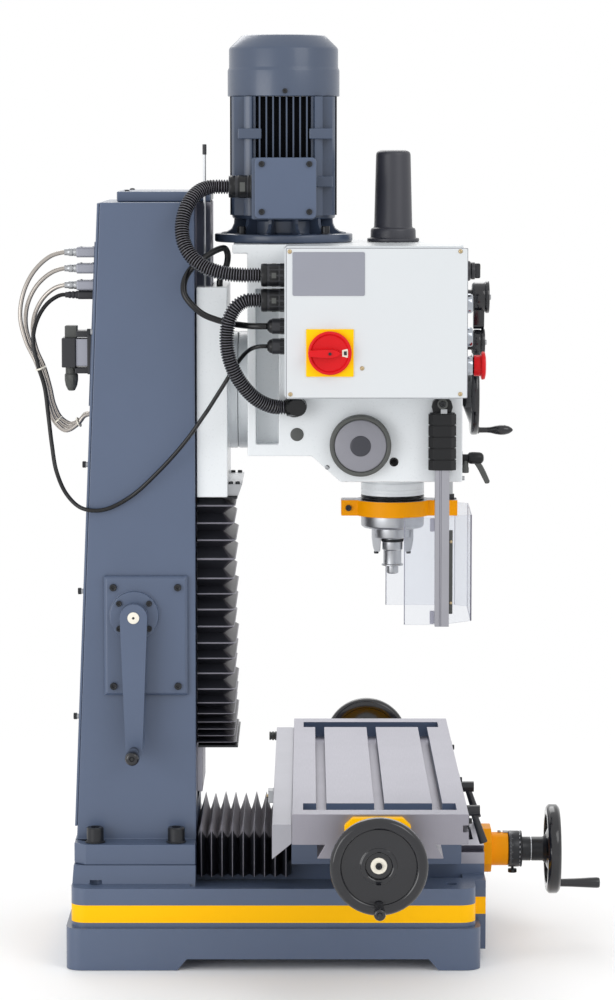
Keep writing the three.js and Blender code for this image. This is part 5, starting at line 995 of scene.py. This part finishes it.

# %% [markdown]
# The electrical box is folded sheet with a flat lid on small gilt screws. Box and lid take a darker copy of
# the white enamel, as painted shade. The conduits enter at the back through black nylon connectors. A blank
# stainless plate sits at the top corner. The isolator is a red rotary grip on a yellow square. The lid is a
# plate of its own over a thin grey strip that is a painted shadow line, since that line is what shows it.

# %% The electrical box and its controls
# The box and its lid take the darker white, as painted shade.
box = eased("electrical_box", box_white_painted_shade, 1.2)
painted(box, black_abs_and_vent_shade, lambda x, y, z: y > 69.6)
painted(box, bright, lambda x, y, z: y < -182)
GLAND_X, KNOB_Y, KNOB_Z = -190, 6, 878
# A grey strip behind the lid's edge is a painted shadow line.
plate("box_seam", (-232.7, -185.2, 814.8), (-231.6, 66.6, 1023), 0.2, "head", disc, corner=1.5)
plate("box_lid", (-234.8, -184.4, 815.6), (-231.2, 65.8, 1022.2), 0.7, "head", box_white_painted_shade, corner=1.2)
screws("lid_screws", "button", [(-234.7, y, z) for y, z in ((61.6, 1018.2), (-174.6, 1018.6), (-175, 820.8),
    (60.8, 820.4), (-38.8, 856.6))], "x", -1, 3.1, "head", brass)
plate("blank_plate", (-235.6, -42.4, 957), (-234.4, 57.8, 1017.6), 0.3, "head", stainless, corner=2.5)
plate("isolator_plate", (-237.4, -27, 845), (-234.4, 39, 911), 0.8, "head", amber, corner=1.5)
print("box dressed")

# %% The isolator and the glands
turned("isolator_disc", "x", (-235.3, KNOB_Y, KNOB_Z), [(0, 0), (30.2, 0), (30.2, -9), (29.4, -10.2),
    (27, -10.6), (26, -9.6), (25.4, -7.8), (0, -7.2)], "isolator", red, edge=0.6, sides=96,
    cad_node="isolator_knob")
arrow = [(30, -4.2), (30, 4.2), (10, 5.6), (-3, 5.8), (-9, 4.6), (-15.6, 0), (-9, -4.6), (-3, -5.8),
    (10, -5.6)]
prism("isolator_grip", [(KNOB_Y + y, KNOB_Z + z) for y, z in arrow], -259, -242, "isolator", red, edge=1.2,
    axis="x")
prism("isolator_window", [(KNOB_Y + y, KNOB_Z + z) for y, z in ((-17, -4.4), (-17, 4.4), (-25, 6.2),
    (-25, -6.2))], -243.4, -242, "isolator", cream, axis="x")
plate("isolator_mark", (-243.7, -17.4, 875.2), (-243.2, -13.4, 880.8), 0.1, "isolator", black_abs_and_vent_shade)
screws("isolator_screw", "cap", [(-258.8, KNOB_Y, KNOB_Z)], "x", -1, 2.2, "isolator", black_abs_and_vent_shade)
for number, z in enumerate((984, 949)):
    turned("conduit_nut_" + str(number), "y", (GLAND_X, 0, z), [(0, 69.5), (16.4, 69.5), (16.4, 75.5),
        (14, 76), (0, 76)], "head", nylon, sides=10)
    turned("conduit_gland_" + str(number), "y", (GLAND_X, 0, z), [(0, 76), (13.6, 76), (15.8, 77.4),
        (15.8, 90), (14.2, 91), (14.2, 92.4), (16.2, 93.4), (16.2, 100), (14, 102), (9, 102)], "head",
        nylon, sides=40)
    for turn in range(4):
        angle = math.pi * turn / 2
        middle = Vector((GLAND_X + 15.6 * math.cos(angle), 83.7, z + 15.6 * math.sin(angle)))
        reach = Vector((0.6 + 3.2 * abs(math.sin(angle)), 3.2, 0.6 + 3.2 * abs(math.cos(angle))))
        plate(f"gland_window_{number}_{turn}", middle - reach, middle + reach, 0.3, "head", dull)
for number, z in enumerate((912.7, 884.6)):
    turned("cable_nut_" + str(number), "y", (GLAND_X, 0, z), [(0, 69.5), (11.4, 69.5), (11.4, 75.5),
        (0, 75.5)], "head", nylon, sides=10)
    turned("cable_gland_" + str(number), "y", (GLAND_X, 0, z), [(0, 75.5), (8.8, 75.5), (8.8, 77.4),
        (10.6, 77.8), (10.6, 85), (9.2, 90), (5.6, 93.2)], "head", nylon, sides=11)
print("isolator and glands dressed")

# %% [markdown]
# On the operator's side are a selector, two push buttons, a mushroom stop, two gear levers, the fine feed
# wheel and a small clamping lever. The bezels are chromed, the caps and grips are moulded. Each gear lever
# is a hub that caps its shaft, with an arm that hangs down. The fine feed wheel is dished, and its grip is
# turned to an oval. All round things are turned, each about its own shaft, so that they stay true when
# their joint moves them.

# %% The selector and the buttons
BUTTON_X, LEVER_X, FEED_X = -180, -45, 45
eased("start_button", red, 0.3)
eased("stop_button", black_abs_and_vent_shade, 0.3)
for name, z, radius, front, material in (
        ("selector", 989.6, 14.2, -191.2, black_abs_and_vent_shade), ("start", 944, 13.7, -194.4, bright),
        ("stop", 897, 13.7, -194.4, bright), ("emergency", 857, 13.4, -195.8, bright)):
    turned(name + "_bezel", "y", (BUTTON_X, 0, z), [(9.5, -181.2), (radius, -181.2), (radius, front + 3.4),
        (radius - 0.7, front + 1.4), (radius - 2, front), (9.5, front), (9.5, -181.2)], "head", material,
        edge=0.3)
turned("selector_disc", "y", (BUTTON_X, 0, 989.6), [(0, -186), (9, -186), (9, -191.6), (12, -191.8),
    (12, -196.4), (10.6, -197.4), (0, -197.4)], "selector", black_abs_and_vent_shade, cad_node="speed_selector")
plate("selector_bar", (-184.4, -204.6, 979.4), (-175.6, -196.6, 999.8), 1.6, "selector", black_abs_and_vent_shade,
    corner=3, axis="y")
plate("selector_mark", (-180.7, -205, 992), (-179.3, -204.4, 998), 0.2, "selector", cream)
turned("stop_mushroom", "y", (BUTTON_X, 0, 857), [(0, -187.2), (9, -187.2), (9, -204.6), (13.8, -204.8),
    (13.8, -196.4), (14.6, -196.2), (14.8, -205.6), (19.4, -206.6), (20, -208.6), (19.2, -211.6),
    (13, -213), (0, -213.4)], "emergency", red, edge=0.7, cad_node="emergency_stop")
print("buttons dressed")

# %% The levers and the fine feed
for name, z, radius, front, reach in (("upper", 947, 21.6, -224, 46), ("lower", 882, 18.4, -218, 36)):
    turned("speed_collar_" + name, "y", (LEVER_X, 0, z), [(9.4, -183.3), (13, -183.3), (13, -188),
        (10.8, -189.4), (10.8, -200), (9.4, -200), (9.4, -183.3)], "head", black_abs_and_vent_shade, edge=0.4)
    turned("speed_hub_" + name, "y", (LEVER_X, 0, z), [(0, -205.6), (12, -205.6), (12, -199),
        (radius - 3, -199), (radius, -202.4), (radius, front + 7), (radius - 1, front + 6),
        (radius + 1.6, front + 5), (radius + 1.6, front + 0.8), (radius + 0.4, front), (6, front),
        (5.4, front + 1.2), (0, front + 1.2)], "speed_" + name, bakelite, edge=0.8,
        cad_node="speed_lever_" + name)
    tip = [(LEVER_X + 7.5 * math.cos(turn), z - reach + 7.5 + 7.5 * math.sin(turn))
        for turn in [math.pi + math.pi * step / 8 for step in range(9)]]
    prism("speed_arm_" + name, [(LEVER_X + radius * 0.62, z - 6), (LEVER_X - radius * 0.62, z - 6), *tip],
        front + 7, -201, "speed_" + name, bakelite, edge=1.6, axis="y")
    screws("lever_screw_" + name, "cap", [(LEVER_X, front + 1.4, z)], "y", -1, 4, "speed_" + name, zinc)
turned("fine_feed_dish", "y", (FEED_X, 0, 800), [(0, -189.6), (15, -189.6), (17, -191), (26, -194.4),
    (44, -201), (48, -201.6), (56.6, -201.4), (59, -203.4), (59, -210.6), (57, -212.8), (51.4, -213),
    (49.4, -211.4), (48, -207), (30, -203.4), (22, -202.4), (20.6, -206.6), (19, -207.6), (10, -207.6),
    (9, -206), (0, -206)], "fine_feed", bakelite, edge=0.8, sides=96, cad_node="fine_feed_wheel")
screws("fine_feed_screw", "cap", [(FEED_X, -206, 800)], "y", -1, 4, "fine_feed")
turned("fine_feed_grip", "y", (FEED_X, 0, 748), [(0, -212.6), (5.6, -212.6), (5.6, -214.4), (4.2, -215),
    (4.1, -226), (4.6, -232), (6.4, -239), (7.4, -246), (7.2, -252), (5.6, -258.4), (3, -262.6),
    (1, -264.4), (0, -264.6)], "fine_feed", bakelite, edge=0.6, sides=32)
turned("quill_lock_hub", "y", (-60, 0, 716), [(0, -183.4), (11, -183.4), (11, -186), (5.6, -186.4),
    (5.6, -194), (8, -195.6), (8.6, -199), (8.6, -210), (7.4, -214), (4.4, -216.4), (0, -217)],
    "quill_lock", nylon, sides=40, cad_node="quill_lock_lever")
turned("quill_lock_stub", "z", (-60, -190.4, 0), [(0, 719), (4.4, 719), (4.4, 703), (5, 702), (5, 695.4),
    (4.2, 694.6), (0, 694.6)], "quill_lock", dull, edge=0.3, sides=24)
prism("quill_lock_arm", [(-201, 711), (-209, 713), (-215, 705.6), (-219.4, 697), (-225.6, 683),
    (-224.6, 679.6), (-219, 679), (-213.4, 690), (-209.4, 698), (-205.6, 704.4)], -64, -56, "quill_lock",
    dull, edge=1.4, axis="x")
for side in ("left", "right"):
    eased("table_lock_lever_" + side, black_abs_and_vent_shade, 0.8)
eased("quill_feed_lever", bakelite, 0.6)
print("levers dressed")

# %% [markdown]
# The quill is ground and its nose is turned. Below the orange clamp the spindle steps down to the arbor,
# with two driving dogs across its face and a dark groove where a ring sits. One turned profile gives the
# nose and the arbor, because they share an axis and a finish, and the ring is dark so that the groove reads
# from afar.

# %% The spindle and the depth stop
eased("quill", steel, 0.8)
turned("spindle_nose", "z", (0, SPINDLE_Y, 0), [(0, 541.6), (7.4, 541.6), (8.8, 543), (8.8, 553.6),
    (15.8, 553.6), (15.8, 555.7), (13.2, 555.9), (13.2, 576), (14.8, 577.4), (14.8, 590), (13.4, 590.4),
    (13.4, 594), (25.4, 594.6), (27, 596), (27, 609.6), (0, 609.6)], "spindle_group", steel, edge=0.4,
    sides=96, cad_node="spindle")
dog = [(13, 608), (30.4, 608), (30.4, 594), (28.6, 581), (26, 574), (18, 574), (17, 592), (13, 594)]
for side, name in ((-1, "front"), (1, "rear")):
    prism("driving_dog_" + name, [(SPINDLE_Y + side * out, z) for out, z in dog], -7, 7, "spindle_group",
        steel, edge=1.0, axis="x")
    screws("dog_screw_" + name, "cap", [(0, SPINDLE_Y + side * 23.5, 574.2)], "z", -1, 3.4, "spindle_group")
turned("quill_nose", "z", (0, SPINDLE_Y, 0), [(28, 609.8), (42.6, 609.8), (45.8, 613), (45.8, 627.6),
    (28, 627.6)], "quill_group", steel, edge=0.4, sides=96)
turned("quill_collar", "z", (0, SPINDLE_Y, 0), [(45.3, 658.6), (46, 658.6), (46, 662), (45.6, 662.3),
    (46, 662.6), (46, 667), (45.6, 667.3), (46, 667.6), (46, 676.2), (45.3, 676.2), (45.3, 658.6)], "head",
    white, edge=0.1, sides=96)
turned("spindle_ring", "z", (0, SPINDLE_Y, 0), [(13, 588), (16, 588.6), (16.6, 590.4), (16, 592.2),
    (13, 592.8)], "spindle_group", blackened, edge=0.3)
clamp = eased("depth_stop_clamp", orange, 1.0)
painted(clamp, steel, lambda x, y, z: z > 650.7)
eased("depth_stop_rod", zinc, 0.3)
screws("clamp_screw", "cap", [(-18.2, -22.6, 639.5)], "x", -1, 4.4, "quill_group")
screws("stop_rod_nut", "hexagon", [(0, -169, 651.2)], "z", 1, 9, "quill_group")
print("spindle dressed")

# %% [markdown]
# The guard is a clear folded screen on an aluminium post that hangs from a black switch housing. The post
# is a drawn section with a groove down each face. Small clips hold the screen to it. The screen is one bent
# sheet with real thickness, drawn as a prism over its folded line, so that its edges can take a frosted
# finish of their own.

# %% The guard
SCREEN_LOW, SCREEN_HIGH = 484, 637.6
eased("guard_housing", nylon, 0.8)
section = [(-155, -143.6), (-155, -149.6), (-153.8, -150.4), (-153.8, -151.8), (-155, -152.6),
    (-155, -163.6), (-146.4, -163.6), (-145.6, -162.4), (-144.4, -162.4), (-143.6, -163.6), (-135, -163.6),
    (-135, -143.6), (-143.6, -143.6), (-144.4, -144.8), (-145.6, -144.8), (-146.4, -143.6)]
prism("guard_rail", section, SCREEN_LOW, 706.7, "guard", extrusion, cad_node="guard_post")
outer = [(85, -79), (85, -182), (68, -200.6), (-92, -198.4), (-134.7, -152), (-134.7, -100.6)]
inner = [(-132.9, -100.6), (-132.9, -151.2), (-91, -196.6), (67.2, -198.8), (83.2, -181.2), (83.2, -79)]
screen = prism("guard_sheet", outer + inner, SCREEN_LOW, SCREEN_HIGH, "guard", clear_sheet,
    cad_node="guard_screen")
painted(screen, frosted_and_bend_highlight, lambda x, y, z: z > SCREEN_HIGH - 0.3 or z < SCREEN_LOW + 0.3
    or (x < -133 and y > -100.9) or (x > 83 and y > -79.4))
# The rods at the bends are painted lines: the grey ones a painted highlight, the dark one painted shade where
# the near panel is seen edge on. The two at the ends are the frosted sawn edges.
for number, (x, y, radius, finish_of) in enumerate((
        (-133.8, -151.6, 0.5, frosted_and_bend_highlight), (-91.6, -197.6, 1.1, edge_on_painted_shade), (67.6, -199.8, 0.7, frosted_and_bend_highlight),
        (84.2, -181.6, 0.5, frosted_and_bend_highlight), (-133.8, -101, 0.7, frosted_and_bend_highlight), (84.2, -79.6, 0.7, frosted_and_bend_highlight))):
    upward = [Vector((x, y, z)) * MM for z in (SCREEN_LOW + 0.4, 560, SCREEN_HIGH - 0.4)]
    fold = tube("screen_fold_" + str(number), upward, [radius], 10, "guard")
    fold.data.materials.append(finish_of)
turned("housing_eye", "x", (-158.1, -153.6, 801), [(4.6, 0.4), (7.4, 0.4), (7.4, -0.8), (4.6, -0.8),
    (4.6, 0.4)], "head", dull, edge=0.2)
screws("housing_screw", "cap", [(-158, -153.6, 801)], "x", -1, 4.2, "head")
plate("housing_tab", (-159.4, -160, 787.6), (-158, -151, 794), 0.4, "head", zinc)
plate("screen_rail", (-138.4, -169.4, 500), (-134.9, -164.2, 620), 0.8, "guard", dull)
screws("screen_rail_screws", "button", [(-138.4, -166.8, z) for z in (515.8, 603.6)], "x", -1, 2.2, "guard",
    brass)
for number, (low, high) in enumerate(((485.5, 504.5), (618, 637))):
    plate("screen_clip_" + str(number), (-137.6, -143.4, low), (-134.9, -137, high), 0.6, "guard", frosted_and_bend_highlight,
        corner=1.5)
print("guard dressed")

# %% [markdown]
# Bellows keep chips off the ways. The cloth is folded into pleats that are stiffened by card, so each flank
# is nearly flat, and every crest carries a pale strip that is a painted highlight. No two pleats of the tall
# one hang alike: the weight of the cloth closes those at the foot, so each has its own length. The panel that
# faces forward is painted lighter, as a painted sheen, and the one that lies under the cutter much lighter,
# as painted light. A cloth simulation could fold them, but rings along the slide give the same pleats each
# time.

# %% A folded channel
CLOTH = 1.6  # mm, with its card
# Each pleat is seven rings: a share of its length, and how far the cloth stands out there.
PLEAT = ((0, 0), (0.22, 0.4), (0.45, 0.92), (0.485, 1), (0.515, 1), (0.55, 0.92), (0.78, 0.4))
SLACK = (0, 2.4, 1)  # mm by which three crests in turn stand back, over and over


def pleated(name, weights, half, depth, fold, low, high, panel, place):
    """A three-sided channel of pleats between low and high in mm, each as long as its weight says.
    The outer panel has its own lighter finish, which is painted light. place turns (across, out, along) into
    a point."""
    rings, start = [], low
    for number, weight in enumerate(weights):
        length = (high - low) * weight / sum(weights)
        rings += [(start + part * length, rise, SLACK[number % 3] * rise) for part, rise in PLEAT]
        start += length
    rings.append((high, 0, 0))
    points = []
    for along, rise, slack in rings:
        tuck = fold * (1 - rise)
        width, reach, corner = half - tuck, depth - tuck - slack, 2 + 6 * rise
        section = [(-width, 0), (-width, reach - corner), (-width + corner * 0.3, reach - corner * 0.3),
            (-width + corner, reach), (0, reach), (width - corner, reach),
            (width - corner * 0.3, reach - corner * 0.3), (width, reach - corner), (width, 0)]
        inner = [(across * (1 - CLOTH / half), out - CLOTH if out else 0)
            for across, out in reversed(section)]
        points += [Vector(place(across, out, along)) * MM for across, out in section + inner]
    sides = len(section + inner)
    made = crisp_piece(name, points, rings_joined(len(rings), sides), (bellows, panel, crest_painted_highlight))
    # Slot 2 is the painted highlight along each crest, and slot 1 the outer panel's lighter finish, painted
    # light.
    for number, face in enumerate(made.data.polygons[:(len(rings) - 1) * sides]):
        ring, turn = divmod(number, sides)
        face.material_index = 2 if ring % len(PLEAT) in (2, 3, 4) and turn < 8 else 1 if 0 < turn < 7 else 0
    return made


print("a pleat of", len(PLEAT), "rings")

# %% The bellows
column_pleats = (0.4, 0.45, 0.42, 0.5, 0.6, 0.8, 1, 1.05, 0.9, 1.1, 1.05, 1.15, 0.9, 1.1, 1.4, 1.05, 1.15,
    1.1)
# Its front panel is painted lighter, as a painted sheen.
tall = pleated("column_bellows", column_pleats, 105, 56, 18, 305, 663.7, cloth_painted_sheen,
    lambda a, b, c: (a, 195 - b, c))
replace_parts(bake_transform(tall), "z_bellows")
saddle_pleats = (1, 1.06, 0.95, 1, 1.1, 0.95, 1.02, 1, 0.94)
# Its top panel is painted much lighter, as painted light.
low_one = pleated("saddle_bellows", saddle_pleats, 132, 78, 24, 60.3, 196.7, cloth_painted_light,
    lambda a, b, c: (a, c, 118 + b))
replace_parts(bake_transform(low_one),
    "y_bellows")
for name, body, low, high in (("top", "carriage", (-105.5, 137, 661.6), (105.5, 156, 663.9)),
        ("bottom", "stand", (-105.5, 137, 302), (105.5, 194.6, 305))):
    plate("bellows_frame_" + name, low, high, 0.8, body, blackened)
print("bellows folded")

# %% [markdown]
# Three scale cables and the head's cable plug into the back of the column. Below them a heavy connector
# hangs in a black frame, with its own gland. The cables are gathered by nylon ties, which close round all
# of them. A tie is the tube that the cords use, along an ellipse, and the plugs are plates and turned
# ferrules like those of the box.

# %% The plugs behind
PLUG_X = -60
prism("rear_plate", [(346.6, 793), (336.9, 1027), (340.5, 1027), (350.2, 793)], -82, -38, "stand", slate,
    axis="x", cad_node="rear_connector_panel")
for number, z in enumerate((1012, 989, 965)):
    plate("scale_plug_" + str(number), (PLUG_X - 15, 335, z - 7), (PLUG_X + 15, 367, z + 7), 1.2, "stand",
        stainless, corner=2, axis="y")
    screws(f"scale_plug_screws_{number}", "button", [(PLUG_X, y, z + 7) for y in (344, 361)], "z", 1, 2.2,
        "stand", zinc)
    turned("plug_ferrule_" + str(number), "y", (PLUG_X, 0, z), [(0, 366), (6, 366), (6, 371), (5.2, 372),
        (5.8, 373), (5.8, 378), (4.8, 380), (4.8, 385), (0, 385)], "stand", zinc, edge=0.3, sides=24)
plate("power_plug", (-70, 337, 945), (-50, 366, 957), 1.5, "stand", black_abs_and_vent_shade, corner=3, axis="y")
turned("power_plug_relief", "y", (PLUG_X, 0, 951), [(0, 366), (5.6, 366), (5.6, 369), (4.6, 369.4),
    (4.6, 370.6), (5.4, 371), (5.4, 374), (4.4, 374.4), (4.4, 375.6), (5, 376), (5, 379), (4.2, 379.4),
    (4.2, 384), (0, 384)], "stand", black_abs_and_vent_shade, edge=0.2, sides=24)
for name, low, high, finish_of in (
        ("flange", (-81, 342, 838), (-39, 352, 901), black_abs_and_vent_shade),
        ("top_bar", (-78, 351, 891), (-42, 368, 900), black_abs_and_vent_shade),
        ("low_bar", (-78, 351, 839), (-42, 370, 847), black_abs_and_vent_shade),
        ("shell", (-75, 351, 849), (-45, 369.4, 889), stainless),
        ("block", (-80, 368.6, 847.6), (-40, 388.6, 890), black_abs_and_vent_shade),
        ("cap", (-72, 367, 889.4), (-48, 384.6, 907), dull)):
    plate("heavy_connector_" + name, low, high, 1.4, "stand", finish_of)
turned("heavy_connector_gland", "z", (PLUG_X, 376, 0), [(0, 848), (8.4, 848), (8.4, 838), (9.8, 837),
    (9.8, 829), (8.4, 821), (5.4, 814.6), (4, 813.4), (0, 813.4)], "stand", dull, sides=11)
print("plugs dressed")

# %% The ties
def tie(name, centre, along, half_width, half_height):
    """A nylon tie: a loop round the middle of a bundle, square to the way that the bundle runs."""
    across = Vector((1, 0, 0))
    up = Vector(along).normalized().cross(across)
    loop = [(Vector(centre) + across * half_width * math.cos(turn) + up * half_height * math.sin(turn)) * MM
        for turn in [2 * math.pi * step / 40 for step in range(41)]]
    tube(name, loop, [1.3], 8, "stand").data.materials.append(cream)


tie("cable_tie_upper", (-66, 419.5, 846), (0, -0.3, -1), 24, 6.6)
tie("cable_tie_lower", (-60, 396, 771), (0, -0.62, -0.78), 18, 6.4)
tie("cable_tie_column", (-60, 366, 768), (0, -1, 0.5), 18, 6.4)
print("cables tied")

# %% [markdown]
# The cords were drawn before there were finishes, so they get theirs now. The crests of the conduits' ribs
# take a lighter, glossier finish than the grooves, which is a painted highlight.

# %% The cords' finishes
rib_radii, rib_sides = skins["conduit"][1:]
for name, cord_skin in cords.items():
    cord_skin.data.materials.append(armour if name.startswith("scale") else sheath)
    if name.startswith("conduit"):
        # The rib crests take the painted highlight.
        cord_skin.data.materials.append(crest)
        for face in cord_skin.data.polygons:
            if face.index // rib_sides % len(rib_radii) in (2, 3):
                face.material_index = 1
print("cords finished")

# %% [markdown]
# Last, the dressed model is measured, and its size is printed beside the imported one's.

# %% The size of the dressed model
size = {"cad": cad_box, "visual": [[float(value) for value in corner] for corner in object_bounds()]}
print(size)
